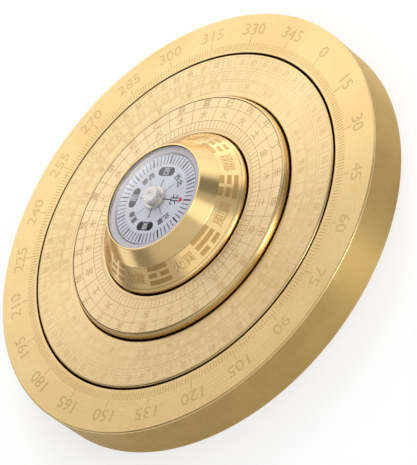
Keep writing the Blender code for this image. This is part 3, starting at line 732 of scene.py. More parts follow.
# %% Tree for bars round a circle
BAR_INPUTS = [
    ("Count", "Int"), ("Skip Every", "Int"), ("First Dial", "Float"), ("Inner Radius", "Float"),
    ("Inner Height", "Float"), ("Outer Radius", "Float"), ("Outer Height", "Float"),
    ("Width", "Float"), ("Thickness", "Float"), ("Material", "Material")]
BAR_SUMS = [
    ("full turns", 'MULTIPLY', "Index", -2 * pi), ("turn", 'DIVIDE', "full turns", "Count"),
    ("from east", 'SUBTRACT', 90.0, "First Dial"), ("start", 'RADIANS', "from east", 0.0),
    ("angle", 'ADD', "start", "turn"),
    ("radii", 'ADD', "Inner Radius", "Outer Radius"), ("middle", 'MULTIPLY', "radii", 0.5),
    ("heights", 'ADD', "Inner Height", "Outer Height"), ("Height", 'MULTIPLY', "heights", 0.5),
    ("run", 'SUBTRACT', "Outer Radius", "Inner Radius"), ("run squared", 'POWER', "run", 2.0),
    ("rise", 'SUBTRACT', "Outer Height", "Inner Height"), ("rise squared", 'POWER', "rise", 2.0),
    ("length squared", 'ADD', "run squared", "rise squared"),
    ("length", 'SQRT', "length squared", 0.0),
    ("slope", 'ARCTAN2', "rise", "run"), ("lean", 'MULTIPLY', "slope", -1.0),
    ("cosine", 'COSINE', "angle", 0.0), ("east", 'MULTIPLY', "middle", "cosine"),
    ("sine", 'SINE', "angle", 0.0), ("north", 'MULTIPLY', "middle", "sine"),
    ("left over", 'MODULO', "Index", "Skip Every"), ("unskipped", 'GREATER_THAN', "left over", 0.5),
    ("no skips", 'LESS_THAN', "Skip Every", 0.5), ("kept", 'ADD', "unskipped", "no skips")]


def bars_tree():
    tree, value = new_tree("bars round a circle", BAR_INPUTS)
    for result, operation, first, second in BAR_SUMS:
        value[result] = add_node(tree, "ShaderNodeMath", {"operation": operation},
                                 {0: value.get(first, first), 1: value.get(second, second)})
    size = add_node(tree, "ShaderNodeCombineXYZ",
                    inputs={0: value["length"], 1: value["Width"], 2: value["Thickness"]})
    return set_down(tree, value, add_node(tree, "GeometryNodeMeshCube", inputs={"Size": size}))


bars = bars_tree()
print("tree:", bars.name, "with", len(bars.nodes), "nodes")

# %% [markdown]
# A tree only runs as a modifier on an object, so an empty mesh wears it while it runs. The values
# go in by each input's identifier, which is what a modifier knows it by, and the result is taken
# out as a plain mesh, because a library of parts has no use for a live tree.

# %% Run a tree
def run_tree(tree, name, values):
    """Run a tree on an empty mesh and return what it makes as a plain mesh."""
    work = in_scene(name + " work", bpy.data.meshes.new(name + " work"))
    nodes = work.modifiers.new("nodes", 'NODES')
    nodes.node_group = tree
    for socket in tree.interface.items_tree:
        if socket.in_out == 'INPUT':
            nodes[socket.identifier] = values[socket.name]
    return bake(work, name)


print("values that a bar needs:", len(BAR_INPUTS))

# %% [markdown]
# ## Etched marks
# Etching on the real dials is a few hundredths of a millimetre deep. Here every mark is a closed
# sliver that stands 0.015 mm proud instead, far too little to see, so that it can have its own matt
# material. The marks of one piece are gathered in one list of points and faces and become one mesh.

# %% Gather marks into one mesh
PROUD = 0.015 * MM


def new_marks():
    return {"points": [], "faces": []}


def stamp(marks, mesh, matrix=Matrix.Identity(4)):
    """Add a mesh to the marks, in the place that the matrix gives."""
    offset = len(marks["points"])
    marks["points"] += [matrix @ point.co for point in mesh.vertices]
    marks["faces"] += [[offset + index for index in face.vertices] for face in mesh.polygons]


def finish_marks(name, marks, material, body):
    """The gathered marks as one mesh, finished like any other piece."""
    mesh = bpy.data.meshes.new(name)
    mesh.from_pydata(marks["points"], [], marks["faces"])
    mesh.validate()
    finish_piece(name, mesh, material, body)


print("marks stand", PROUD / MM, "mm proud")

# %% [markdown]
# Two kinds of mark fill most of a dial: bars, which the tree makes, and fine circles, which are
# turned like everything else. A real dial's circles are cut on the lathe before the etching.

# %% Bars and circles
FINE_LINE = 0.11 * MM
LINE_STEPS = 180
NO_SKIP = 0


def add_bars(marks, count, first_dial, inner, outer, width=FINE_LINE, skip=NO_SKIP):
    """Bars round the dial between two (radius, height) places, clockwise from a dial angle."""
    mesh = run_tree(bars, "bars", {
        "Count": count, "Skip Every": skip, "First Dial": float(first_dial),
        "Inner Radius": inner[0], "Inner Height": inner[1], "Outer Radius": outer[0],
        "Outer Height": outer[1], "Width": width, "Thickness": 2 * PROUD, "Material": deep_etching})
    stamp(marks, mesh)


def add_circles(marks, radii, height, width=FINE_LINE):
    """Fine turned lines on a flat face."""
    for radius in radii:
        section = [(radius - width / 2, height + PROUD), (radius + width / 2, height + PROUD),
                   (radius + width / 2, height - PROUD), (radius - width / 2, height - PROUD)]
        stamp(marks, turned("circle line", section, steps=LINE_STEPS))


print("a fine line is", round(FINE_LINE / MM, 2), "mm wide")

# %% [markdown]
# Signs and numbers come from Blender's own text object, which is a quick way to get the many
# strokes of Chinese signs. Each is made once, given its thickness, turned into a mesh and centred,
# and kept for the next time that the same sign is wanted.

# %% Signs as meshes
CURVE_STEPS = 3
sign_meshes = {}


def sign(text, height, wider=1.0, bolder=0.0):
    """One sign or number as a closed mesh, centred on the origin and lying flat."""
    if (text, height) in sign_meshes:
        return sign_meshes[text, height]
    curve = bpy.data.curves.new("sign", 'FONT')
    curve.body = text
    curve.size = height
    curve.resolution_u = CURVE_STEPS
    curve.extrude = PROUD
    curve.offset = bolder
    mesh = bake(in_scene("sign work", curve), "sign")
    bpy.data.curves.remove(curve)
    closed_up(mesh)
    columns = [point.co.x for point in mesh.vertices]
    rows = [point.co.y for point in mesh.vertices]
    middle = Vector(((min(columns) + max(columns)) / 2, (min(rows) + max(rows)) / 2, 0))
    mesh.transform(Matrix.Diagonal((wider, 1, 1, 1)) @ Matrix.Translation(-middle))
    sign_meshes[text, height] = mesh
    return mesh


print("a sign of 2 mm has", len(sign("午", 2 * MM).polygons), "faces")

# %% [markdown]
# On the dial, a sign stands with its top pointing outwards, and on the hub with its top inwards.
# One matrix holds its turn and its place, and leans it where the surface is a cone.

# %% Signs on a dial
def on_dial(dial, radius, height, slope=0.0, tops_in=False):
    """Where a sign goes: its dial angle and radius, and how steeply the surface falls outwards."""
    angle = radians(90 - dial)
    radial = Vector((cos(angle), sin(angle), 0))
    downhill = radial * cos(slope) - Vector((0, 0, sin(slope)))
    normal = radial * sin(slope) + Vector((0, 0, cos(slope)))
    up = -downhill if tops_in else downhill
    turn = Matrix((up.cross(normal), up, normal)).transposed().to_4x4()
    return Matrix.Translation(radial * radius + Vector((0, 0, height))) @ turn


def add_signs(marks, texts, first_dial, radius, height, size, wider=1.0):
    """Signs at equal steps round a flat dial, clockwise, with their tops outwards."""
    for index, text in enumerate(texts):
        dial = first_dial + 360 * index / len(texts)
        stamp(marks, sign(text, size, wider), on_dial(dial, radius, height))


print("dial 90 points along", [round(c) for c in on_dial(90, 1, 0).translation])

# %% [markdown]
# ## Outer ring: degrees
# The outer dial counts 360 degrees clockwise: a short tick for each, a long one every 15, and the
# numbers outside them. Etching makes them all at once, through a resist that was printed on.

# %% Degree scale
TICK_IN = 35.9 * MM
TICK_OUT = 37.4 * MM
LONG_TICK_OUT = 39.0 * MM
TICK_WIDTH = 0.2 * MM
NUMBER_RADIUS = 40.5 * MM
NUMBER_SIZE = 3.45 * MM
NUMBER_WIDER = 1.12
NUMBER_STEP = 15
numbers = [str(number) for number in range(0, 360, NUMBER_STEP)]

degrees = new_marks()
add_bars(degrees, 360, 0, (TICK_IN, outer_face), (TICK_OUT, outer_face), TICK_WIDTH, NUMBER_STEP)
add_bars(degrees, len(numbers), 0, (TICK_IN, outer_face), (LONG_TICK_OUT, outer_face), TICK_WIDTH)
add_signs(degrees, numbers, 0, NUMBER_RADIUS, outer_face, NUMBER_SIZE, NUMBER_WIDER)
finish_marks("outer_ring_scale", degrees, deep_etching, "base")

# %% [markdown]
# ## Middle ring: hexagrams and seasons
# The middle dial has the names of the 64 hexagrams in its outer row, then the hexagrams themselves,
# and inside them the 24 seasons of the solar year, two signs to each. Names and seasons are signs in
# cells, with fine circles and dividers between them.

# %% Names and seasons on the middle dial
NAMES_OUT = 34.38 * MM
NAMES_IN = 31.91 * MM
NAME_SIZE = 1.85 * MM
NAME_CELL = 360 / 64
NAMES_START = 4.15
HEXAGRAM_OUT = 31.2 * MM
HEXAGRAM_IN = 29.5 * MM
HEXAGRAM_MARGIN = 0.12 * MM
SEASONS_OUT = 29.0 * MM
SEASONS_IN = 27.0 * MM
SEASON_SIZE = 1.45 * MM
SEASON_CELL = 360 / 24
SEASONS_START = 6.6
SEASON_SPREAD = 1.7
HEXAGRAM_NAMES = ("乾坤屯蒙需訟師比畜履泰否同有謙豫隨蠱臨觀噬賁剝復妄畜頤過坎離咸恆"
                  "遯壯晉夷家睽蹇解損益夬姤萃升困井革鼎震艮漸歸豐旅巽兌渙節孚過濟未")
SEASONS = ("立春 雨水 驚蟄 春分 清明 穀雨 立夏 小滿 芒種 夏至 小暑 大暑 "
           "立秋 處暑 白露 秋分 寒露 霜降 立冬 小雪 大雪 冬至 小寒 大寒").split()

middle_marks = new_marks()
add_circles(middle_marks, (NAMES_OUT, NAMES_IN, HEXAGRAM_OUT + HEXAGRAM_MARGIN,
                           HEXAGRAM_IN - HEXAGRAM_MARGIN, SEASONS_OUT, SEASONS_IN), middle_face)
add_signs(middle_marks, HEXAGRAM_NAMES, NAMES_START, (NAMES_IN + NAMES_OUT) / 2, middle_face, NAME_SIZE)
add_bars(middle_marks, 64, NAMES_START + NAME_CELL / 2, (NAMES_IN, middle_face),
         (NAMES_OUT, middle_face))
for which in (0, 1):
    add_signs(middle_marks, [season[which] for season in SEASONS],
              SEASONS_START + SEASON_SPREAD * (2 * which - 1), (SEASONS_IN + SEASONS_OUT) / 2,
              middle_face, SEASON_SIZE)
add_bars(middle_marks, 24, SEASONS_START + SEASON_CELL / 2, (SEASONS_IN, middle_face),
         (SEASONS_OUT, middle_face))
finish_marks("middle_ring_dial", middle_marks, light_etching, "middle_ring")

# %% [markdown]
# A hexagram is six short bars, each whole or broken. On the real dial they follow the circle, and
# so do the bars of the trigrams on the hub, so one function draws a bar that is bent round the axis
# and can also lie on a cone.

# %% Curved bars
def add_curved_bar(marks, dial_from, dial_to, inner, outer, step):
    """A bar that follows the circle, between two (radius, height) edges of its surface."""
    count = max(1, round((dial_to - dial_from) / step))
    slope = atan2(inner[1] - outer[1], outer[0] - inner[0])
    lift = (PROUD * sin(slope), PROUD * cos(slope))
    corners = [(inner[0] - lift[0], inner[1] - lift[1]), (outer[0] - lift[0], outer[1] - lift[1]),
               (outer[0] + lift[0], outer[1] + lift[1]), (inner[0] + lift[0], inner[1] + lift[1])]
    offset = len(marks["points"])
    for place in range(count + 1):
        angle = radians(90 - dial_from - (dial_to - dial_from) * place / count)
        marks["points"] += [Vector((r * cos(angle), r * sin(angle), z)) for r, z in corners]
    for place in range(count):
        here = offset + 4 * place
        for side in range(4):
            after = (side + 1) % 4
            marks["faces"].append([here + side, here + after, here + 4 + after, here + 4 + side])
    last = offset + 4 * count
    marks["faces"].append([offset + 3, offset + 2, offset + 1, offset])
    marks["faces"].append([last, last + 1, last + 2, last + 3])


bar_test = new_marks()
add_curved_bar(bar_test, 0, 4, (HEXAGRAM_IN, 0), (HEXAGRAM_OUT, 0), 4)
print("a bar of one straight part has", len(bar_test["faces"]), "faces")

# %% [markdown]
# The hexagrams stand in the old counting order: each is a number from 0 to 63, written in six
# binary digits, where 1 is a whole bar and 0 a broken one. The first name stands over six whole
# bars, so the count runs down from 63. They are etched so lightly that they almost vanish.

# %% Hexagrams
HEXAGRAM_WIDTH = 3.6
HEXAGRAM_GAP = 0.7
# How many degrees one straight part of a bar turns through.
BAR_STEP = 4.0
# Where each of the six bars begins and ends, as shares of its own sixth of the row.
BAR_BEGINS = 0.2
BAR_ENDS = 0.75


def add_hexagram(marks, number, dial):
    """Six bars from a number's six binary digits: 1 is a whole bar and 0 a broken one."""
    pitch = (HEXAGRAM_OUT - HEXAGRAM_IN) / 6
    half = HEXAGRAM_WIDTH / 2
    for line in range(6):
        low = HEXAGRAM_IN + pitch * (line + BAR_BEGINS)
        high = HEXAGRAM_IN + pitch * (line + BAR_ENDS)
        whole = number >> line & 1
        spans = [(-half, half)] if whole else [(-half, -HEXAGRAM_GAP / 2), (HEXAGRAM_GAP / 2, half)]
        for start, end in spans:
            add_curved_bar(marks, dial + start, dial + end, (low, middle_face), (high, middle_face),
                           BAR_STEP)


hexagram_marks = new_marks()
for number in range(64):
    add_hexagram(hexagram_marks, 63 - number, NAMES_START + NAME_CELL * number)
finish_marks("middle_ring_hexagrams", hexagram_marks, faint_etching, "middle_ring")

# %% [markdown]
# ## Inner ring: the 24 mountains
# The inner dial carries the 24 directions that a luopan is read by, called mountains. Under each is
# its element, and inside those a ring of 120 fine cells. It is etched deeper than the middle dial,
# so its signs look darker.

# %% Inner dial
MOUNTAINS_OUT = inner_radius - INNER_EDGE[0]
MOUNTAINS_IN = 22.6 * MM
ELEMENTS_IN = 19.74 * MM
CELLS_IN = 17.96 * MM
INNER_LINE = 17.62 * MM
MOUNTAIN_SIZE = 2.05 * MM
ELEMENT_SIZE = 1.9 * MM
MOUNTAIN_CELL = 360 / 24
MOUNTAINS_START = 7.4
MOUNTAINS = "午丁未坤申庚酉辛戌乾亥壬子癸丑艮寅甲卯乙辰巽巳丙"
ELEMENTS = "土金木土金木金水火金火火土金木木火水木火木水火火"
first_divider = MOUNTAINS_START + MOUNTAIN_CELL / 2

inner_marks = new_marks()
add_circles(inner_marks, (MOUNTAINS_IN, ELEMENTS_IN, CELLS_IN, INNER_LINE), inner_face)
add_signs(inner_marks, MOUNTAINS, MOUNTAINS_START, (MOUNTAINS_IN + MOUNTAINS_OUT) / 2,
          inner_face, MOUNTAIN_SIZE)
add_signs(inner_marks, ELEMENTS, MOUNTAINS_START, (MOUNTAINS_IN + ELEMENTS_IN) / 2, inner_face,
          ELEMENT_SIZE)
add_bars(inner_marks, 24, first_divider, (ELEMENTS_IN, inner_face), (MOUNTAINS_OUT, inner_face))
add_bars(inner_marks, 120, first_divider, (CELLS_IN, inner_face), (ELEMENTS_IN, inner_face))
finish_marks("inner_ring_dial", inner_marks, middle_etching, "inner_ring")

# %% [markdown]
# ## Hub: the eight trigrams
# Eight trigrams stand round the lower cone, each as three wide bars, with its name on one side and
# what it stands for on the other. A fine line parts each group from the next.

# %% Trigrams on the cone
TRIGRAM_START = 41.0
TRIGRAM_CELL = 360 // 8
TRIGRAM_HALF = 9.5
TRIGRAM_GAP = 1.6
BAR_STARTS = (0.24, 0.515, 0.79)
BAR_SHARE = 0.18
PARTING_START = 18.5
PARTING = (0.3, 0.85)
FOOT_LINE = (0.1, 0.13)
# The same for the longer bars of a trigram and for the line round the foot of the cone.
TRIGRAM_STEP = 1.5
FOOT_STEP = 2.0
SIGN_ASIDE = 5.0
SIGN_SHARE = 0.56
HUB_SIGN_SIZE = 2.3 * MM
# Clockwise from the first: name, meaning, and the three bars from the outside in.
TRIGRAMS = [("震", "雷", "100"), ("巽", "風", "011"), ("離", "火", "101"), ("坤", "地", "000"),
            ("兌", "澤", "110"), ("乾", "天", "111"), ("坎", "水", "010"), ("艮", "山", "001")]

hub_marks = new_marks()
for place, (name, meaning, lines) in enumerate(TRIGRAMS):
    centre = TRIGRAM_START + TRIGRAM_CELL * place
    for start_share, line in zip(BAR_STARTS, lines):
        edges = on_cone(start_share + BAR_SHARE), on_cone(start_share)
        spans = ((-TRIGRAM_HALF, TRIGRAM_HALF),)
        if line == "0":
            spans = ((-TRIGRAM_HALF, -TRIGRAM_GAP), (TRIGRAM_GAP, TRIGRAM_HALF))
        for start, end in spans:
            add_curved_bar(hub_marks, centre + start, centre + end, *edges, TRIGRAM_STEP)
    for text, aside in ((name, TRIGRAM_CELL / 2 - SIGN_ASIDE), (meaning, SIGN_ASIDE - TRIGRAM_CELL / 2)):
        stamp(hub_marks, sign(text, HUB_SIGN_SIZE),
              on_dial(centre + aside, *on_cone(SIGN_SHARE), cone_slope, tops_in=True))
add_bars(hub_marks, 8, PARTING_START, on_cone(PARTING[1]), on_cone(PARTING[0]))
for quarter in range(4):
    add_curved_bar(hub_marks, 90 * quarter, 90 * quarter + 90, on_cone(FOOT_LINE[1]),
                   on_cone(FOOT_LINE[0]), FOOT_STEP)
finish_marks("hub_trigrams", hub_marks, polished_etching, "hub")

# %% [markdown]
# ## Capsule and card
# The compass itself is a sealed plastic capsule. Its grey case is moulded. The wall shows as a band
# round the card, a small shelf under the card's edge hides the depth below, and a tube in the floor
# holds the pin.

# %% Capsule wall
CASE_WALL = 0.9 * MM
CASE_LIP = 0.38 * MM
CASE_LIP_DEPTH = 0.45 * MM
CASE_FLOOR = 0.7 * MM
CASE_SHELF = 1.0 * MM
SHELF_GAP = 0.15 * MM
PIN_HOLE = 0.4 * MM
PIN_SEAT_RADIUS = 1.2 * MM
PIN_SEAT_HEIGHT = 0.9 * MM
WALL_ROUND = 0.15 * MM
card_radius, card_top, card_bottom = reach_of("compass_card")


def case_profile():
    outer, top, bottom = reach_of("capsule_case")
    bore = outer - CASE_WALL
    floor = bottom + CASE_FLOOR
    shelf = card_bottom - SHELF_GAP
    profile = [(0, floor), (PIN_HOLE, floor), (PIN_HOLE, floor + PIN_SEAT_HEIGHT),
               (PIN_SEAT_RADIUS, floor + PIN_SEAT_HEIGHT), (PIN_SEAT_RADIUS, floor), (bore, floor),
               (bore, shelf - CASE_SHELF), (bore - CASE_SHELF, shelf), (bore, shelf),
               (bore, top - CASE_LIP_DEPTH - CASE_LIP), (bore - CASE_LIP, top - CASE_LIP_DEPTH)]
    profile += arc(bore - CASE_LIP + WALL_ROUND, top - WALL_ROUND, WALL_ROUND, 180, 90)
    profile += [(outer, top), (outer, bottom), (0, bottom)]
    return profile


finish_turned("capsule_wall", case_profile(), grey_plastic, "hub", "grey_plastic", "capsule_case",
              ring=False)

# %% [markdown]
# The window is a shallow dome of clear acrylic with a flat flange, moulded and polished. Acrylic
# bends light with an index of 1.49, and fine scratches give it a trace of roughness.

# %% Clear acrylic
SCRATCH_SIZE = 0.5 * MM
SCRATCHED = 0.02


def clear_acrylic():
    """Polished acrylic. Light on its way to the card passes straight through, as it nearly does
    through a thin even window."""
    material = bpy.data.materials.new("clear acrylic")
    tree = emptied(material)
    place = add_node(tree, "ShaderNodeTexCoord").outputs["Object"]
    noise = add_node(tree, "ShaderNodeTexNoise", {}, {"Vector": place, "Scale": 1 / SCRATCH_SIZE})
    matt = add_node(tree, "ShaderNodeMapRange", {}, {"Value": noise, "To Min": 0.0, "To Max": SCRATCHED})
    shader = add_node(tree, "ShaderNodeBsdfPrincipled", {},
                      {"Base Color": hex_colour("#FFFFFF"), "Roughness": matt,
                       "IOR": 1.49, "Specular IOR Level": 0.15, "Transmission Weight": 1.0})
    ray = add_node(tree, "ShaderNodeLightPath").outputs
    passed = add_node(tree, "ShaderNodeMath", {"operation": 'MAXIMUM'},
                      {0: ray["Is Shadow Ray"], 1: ray["Is Diffuse Ray"]})
    clear = add_node(tree, "ShaderNodeBsdfTransparent")
    window = add_node(tree, "ShaderNodeMixShader", {}, {0: passed, 1: shader, 2: clear})
    add_node(tree, "ShaderNodeOutputMaterial", inputs={"Surface": window})
    return material


acrylic = clear_acrylic()
print("material:", acrylic.name)

# %% [markdown]
# Both faces of the dome are parts of a ball, so the window is as thick at its crown as at its edge
# and shows the card without distortion.

# %% Window
WINDOW_THICKNESS = 0.6 * MM
WINDOW_FLANGE = 0.6 * MM
WINDOW_RISE = 1.7 * MM
WINDOW_STEPS = 128
DOME_STEPS = 14


def dome(edge_radius, edge_height):
    """Points from the crown of a shallow dome to its edge."""
    ball = (edge_radius ** 2 + WINDOW_RISE ** 2) / (2 * WINDOW_RISE)
    radii = [edge_radius * step / DOME_STEPS for step in range(DOME_STEPS + 1)]
    return [(r, edge_height + WINDOW_RISE - ball + sqrt(ball ** 2 - r ** 2)) for r in radii]


def window_profile():
    outer, _, bottom = reach_of("capsule_lens")
    profile = dome(outer - WINDOW_FLANGE, bottom + WINDOW_THICKNESS)
    profile += [(outer, bottom + WINDOW_THICKNESS), (outer, bottom)]
    return profile + dome(outer - CASE_WALL, bottom)[::-1]


finish_turned("capsule_window", window_profile(), acrylic, "hub", "clear_plastic", "capsule_lens",
              steps=WINDOW_STEPS, ring=False)

# %% [markdown]
# The card is a disc punched from thin coated card, with a hole for its jewel. A tiny round at its
# edge keeps the edge from looking like a razor.

# %% Card disc
CARD_HOLE = 0.9 * MM
CARD_ROUND = 0.06 * MM
CARD_STEPS = 144


def card_profile():
    profile = [(CARD_HOLE, card_top)]
    profile += arc(card_radius - CARD_ROUND, card_top - CARD_ROUND, CARD_ROUND, 90, 0)
    profile += [(card_radius, card_bottom), (CARD_HOLE, card_bottom)]
    return profile


finish_turned("card_disc", card_profile(), white_card, "card", "card_white", "compass_card",
              steps=CARD_STEPS)

# %% [markdown]
# The silver cap over the hole is turned from aluminium in two steps, with a tiny dimple where the
# tool ended. It is hollow, because the jewel that rides on the pin sits inside it.

# %% Silver cap
CAP_RADIUS = 1.7 * MM
CAP_FOOT_HEIGHT = 0.6 * MM
CAP_ROUND = 0.12 * MM
FOOT_ROUND = 0.08 * MM
CAP_BORE = 0.9 * MM
CAP_CROWN = 0.3 * MM
DIMPLE_RADIUS = 0.3 * MM
DIMPLE_DEPTH = 0.12 * MM
SMALL_STEPS = 96


def cap_profile():
    foot, top, bottom = reach_of("card_cap")
    shelf = bottom + CAP_FOOT_HEIGHT
    profile = [(0, top - DIMPLE_DEPTH), (DIMPLE_RADIUS, top)]
    profile += arc(CAP_RADIUS - CAP_ROUND, top - CAP_ROUND, CAP_ROUND, 90, 0)
    profile += [(CAP_RADIUS, shelf)]
    profile += arc(foot - FOOT_ROUND, shelf - FOOT_ROUND, FOOT_ROUND, 90, 0)
    profile += [(foot, bottom), (CAP_BORE, bottom), (CAP_BORE, top - CAP_CROWN), (0, top - CAP_CROWN)]
    return profile


finish_turned("cap_turned", cap_profile(), silver, "card", "silver_cap", "card_cap",
              steps=SMALL_STEPS, ring=False)

# %% [markdown]
# ## Printing on the card
# The real card is screen-printed in black and red. The printing is made like the etching, of thin
# slivers on the surface, one mesh for each ink. First the sixty ticks, every fifth one thick, and
# the eight spokes.

# %% Ticks and spokes on the card
CARD_NORTH = 60.5
CARD_TICK_IN = 7.2 * MM
CARD_TICK_OUT = 9.05 * MM
THIN_TICK = 0.16 * MM
THICK_TICK = 0.3 * MM
SPOKE_IN = 1.9 * MM
SPOKE_OUT = 4.1 * MM
LONG_SPOKE_OUT = 4.6 * MM
WIDE_SPOKE = 0.2 * MM
THIN_SPOKE = 0.1 * MM
# Each row: count, first dial angle, inner radius, outer radius, width, and which ones to skip.
CARD_BARS = [(60, CARD_NORTH, CARD_TICK_IN, CARD_TICK_OUT, THIN_TICK, 5),
             (12, CARD_NORTH, CARD_TICK_IN, CARD_TICK_OUT, THICK_TICK, NO_SKIP),
             (4, CARD_NORTH, SPOKE_IN, SPOKE_OUT, WIDE_SPOKE, NO_SKIP),
             (4, CARD_NORTH + 45, SPOKE_IN, LONG_SPOKE_OUT, THIN_SPOKE, NO_SKIP)]

black_print = new_marks()
for count, first_dial, inner, outer, width, skip in CARD_BARS:
    add_bars(black_print, count, first_dial, (inner, card_top), (outer, card_top), width, skip)
print("black bars:", len(black_print["faces"]) // 6)

# %% [markdown]
# East, south and west stand white on black pills, north is a plain sign with a red arrow beyond it,
# and the four directions between are pairs of small signs. A pill and an arrow are both a thin
# plate over an outline.

# %% Flat plates
PILL_STEPS = 12


def flat_plate(outline, low, high):
    """A thin closed plate over an outline of (x, y) points that runs anticlockwise."""
    count = len(outline)
    points = [(x, y, low) for x, y in outline] + [(x, y, high) for x, y in outline]
    faces = [list(range(count))[::-1], list(range(count, 2 * count))]
    faces += [[i, (i + 1) % count, count + (i + 1) % count, count + i] for i in range(count)]
    mesh = bpy.data.meshes.new("plate")
    mesh.from_pydata(points, [], faces)
    return mesh


def pill_outline(length, width):
    half = width / 2
    ends = []
    for side, start in ((1, -90), (-1, 90)):
        centre = side * (length / 2 - half)
        for step in range(PILL_STEPS + 1):
            angle = radians(start + 180 * step / PILL_STEPS)
            ends.append((centre + half * cos(angle), half * sin(angle)))
    return ends


print("a pill's outline has", len(pill_outline(2, 1)), "points")

# %% [markdown]
# The printed signs are a little bolder than the etched ones, because ink spreads into the coating.
# The pair of signs for each direction between stands on both sides of its spoke.

# %% Signs and arrow on the card
WIND_RADIUS = 5.65 * MM
NORTH_RADIUS = 4.85 * MM
NORTH_SIZE = 2.2 * MM
WIND_SIZE = 1.45 * MM
PRINT_BOLDER = 0.025 * MM
WIND_SPREAD = 8.0
PILL_SIGN_SIZE = 1.7 * MM
PILL_LENGTH = 4.1 * MM
PILL_WIDTH = 1.8 * MM
ARROW_IN = 6.0 * MM
ARROW_OUT = 7.0 * MM
ARROW_WIDTH = 1.3 * MM

white_print = new_marks()
red_print = new_marks()
stamp(black_print, sign("北", NORTH_SIZE, bolder=PRINT_BOLDER),
      on_dial(CARD_NORTH, NORTH_RADIUS, card_top))
pill = flat_plate(pill_outline(PILL_LENGTH, PILL_WIDTH), -PROUD, PROUD)
for quarter, text in enumerate("東南西", start=1):
    dial = CARD_NORTH + 90 * quarter
    stamp(black_print, pill, on_dial(dial, WIND_RADIUS, card_top))
    stamp(white_print, sign(text, PILL_SIGN_SIZE), on_dial(dial, WIND_RADIUS, card_top + PROUD))
for quarter, pair in enumerate(("北東", "東南", "南西", "西北")):
    for text, aside in zip(pair, (-WIND_SPREAD, WIND_SPREAD)):
        dial = CARD_NORTH + 45 + 90 * quarter + aside
        stamp(black_print, sign(text, WIND_SIZE, bolder=PRINT_BOLDER),
              on_dial(dial, WIND_RADIUS, card_top))
arrow = flat_plate([(-ARROW_WIDTH / 2, ARROW_IN), (ARROW_WIDTH / 2, ARROW_IN), (0, ARROW_OUT)],
                   -PROUD, PROUD)
stamp(red_print, arrow, on_dial(CARD_NORTH, 0, card_top))
for name, marks, ink in (("card_print_black", black_print, black_ink),
                         ("card_print_white", white_print, white_card),
                         ("card_print_red", red_print, red_ink)):
    finish_marks(name, marks, ink, "card")

# %% [markdown]
# ## Copies round the axis
# The bearings' balls and the base plate's screws are also copies round a circle, this time of a
# ready-made piece. A second tree takes that piece as an input and sets it down on each place. How
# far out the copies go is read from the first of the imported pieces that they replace.

# %% Tree for copies of a piece
COPY_INPUTS = [("Piece", "Object"), ("Count", "Int"), ("Circle Radius", "Float"), ("Height", "Float"),
               ("Material", "Material")]
COPY_SUMS = [
    ("full turns", 'MULTIPLY', "Index", 2 * pi), ("angle", 'DIVIDE', "full turns", "Count"),
    ("cosine", 'COSINE', "angle", 0.0), ("east", 'MULTIPLY', "Circle Radius", "cosine"),
    ("sine", 'SINE', "angle", 0.0), ("north", 'MULTIPLY', "Circle Radius", "sine")]


def copies_tree():
    tree, value = new_tree("copies round the axis", COPY_INPUTS)
    for result, operation, first, second in COPY_SUMS:
        value[result] = add_node(tree, "ShaderNodeMath", {"operation": operation},
                                 {0: value.get(first, first), 1: value.get(second, second)})
    piece = add_node(tree, "GeometryNodeObjectInfo", inputs={"Object": value["Piece"]})
    return set_down(tree, value, piece.outputs["Geometry"])


def add_copies(name, piece, first_node, count, height, material, body):
    """Copies of a piece round the axis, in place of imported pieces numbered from 1."""
    low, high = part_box(first_node)
    mesh = run_tree(copies, name, {"Piece": piece, "Count": count, "Circle Radius": (low.x + high.x) / 2,
                                   "Height": height, "Material": material})
    bpy.data.objects.remove(piece)
    nodes = [first_node[:-1] + str(number) for number in range(1, count + 1)]
    finish_piece(name, mesh, material, body, nodes)


copies = copies_tree()
print("tree:", copies.name, "with", len(copies.nodes), "nodes")

# %% [markdown]
# Each bearing holds seven steel balls, lapped to a mirror. They ride on the cage's body, because
# the cage carries them round at its own speed, between that of the post and that of the ring.

# %% Bearing balls
BALL_COUNT = 7
BALL_SEGMENTS = 24


def ball_mesh(radius):
    shape = bmesh.new()
    bmesh.ops.create_uvsphere(shape, u_segments=BALL_SEGMENTS, v_segments=BALL_SEGMENTS // 2,
                              radius=radius)
    mesh = bpy.data.meshes.new("ball")
    shape.to_mesh(mesh)
    shape.free()
    mesh.shade_smooth()
    return mesh


for ring in ("middle", "inner", "hub"):
    first_ball = ring + "_bearing_ball_1"
    low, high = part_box(first_ball)
    ball = in_scene("ball work", ball_mesh((high.z - low.z) / 2))
    add_copies(ring + "_bearing_balls", ball, first_ball, BALL_COUNT, (low.z + high.z) / 2,
               bearing_steel, ring + "_cage")

# %% [markdown]
# The screws under the base plate are small countersunk machine screws with a hexagon socket. Their
# thread is a stack of turned ridges, which looks the same as a helix from any distance that shows
# the compass, so a screw can be turned like everything else.

# %% Turned screw
SCREW_CORE = 0.62 * MM
SCREW_SHANK = 0.8 * MM
SCREW_STEPS = 36
THREAD_PITCH = 0.35 * MM
HEAD_HEIGHT = 0.9 * MM
HEAD_RADIUS = 1.5 * MM
HEAD_RIM = 0.05 * MM


def screw_profile(length):
    """Head down at height 0, thread up to the tip. The socket is a six-sided cut made later."""
    profile = [(0, length), (SCREW_CORE, length)]
    turns = int((length - HEAD_HEIGHT) / THREAD_PITCH) - 1
    for turn_number in range(turns):
        top = length - THREAD_PITCH * turn_number
        profile += [(SCREW_SHANK, top - THREAD_PITCH / 2), (SCREW_CORE, top - THREAD_PITCH)]
    profile += [(SCREW_SHANK, HEAD_HEIGHT), (HEAD_RADIUS, HEAD_RIM), (HEAD_RADIUS, 0), (0, 0)]
    return profile


low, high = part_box("plate_screw_1")
screw_turned = turned("screw", screw_profile(high.z - low.z), steps=SCREW_STEPS, ring=False)
print("screw length:", round((high.z - low.z) / MM, 2), "mm")

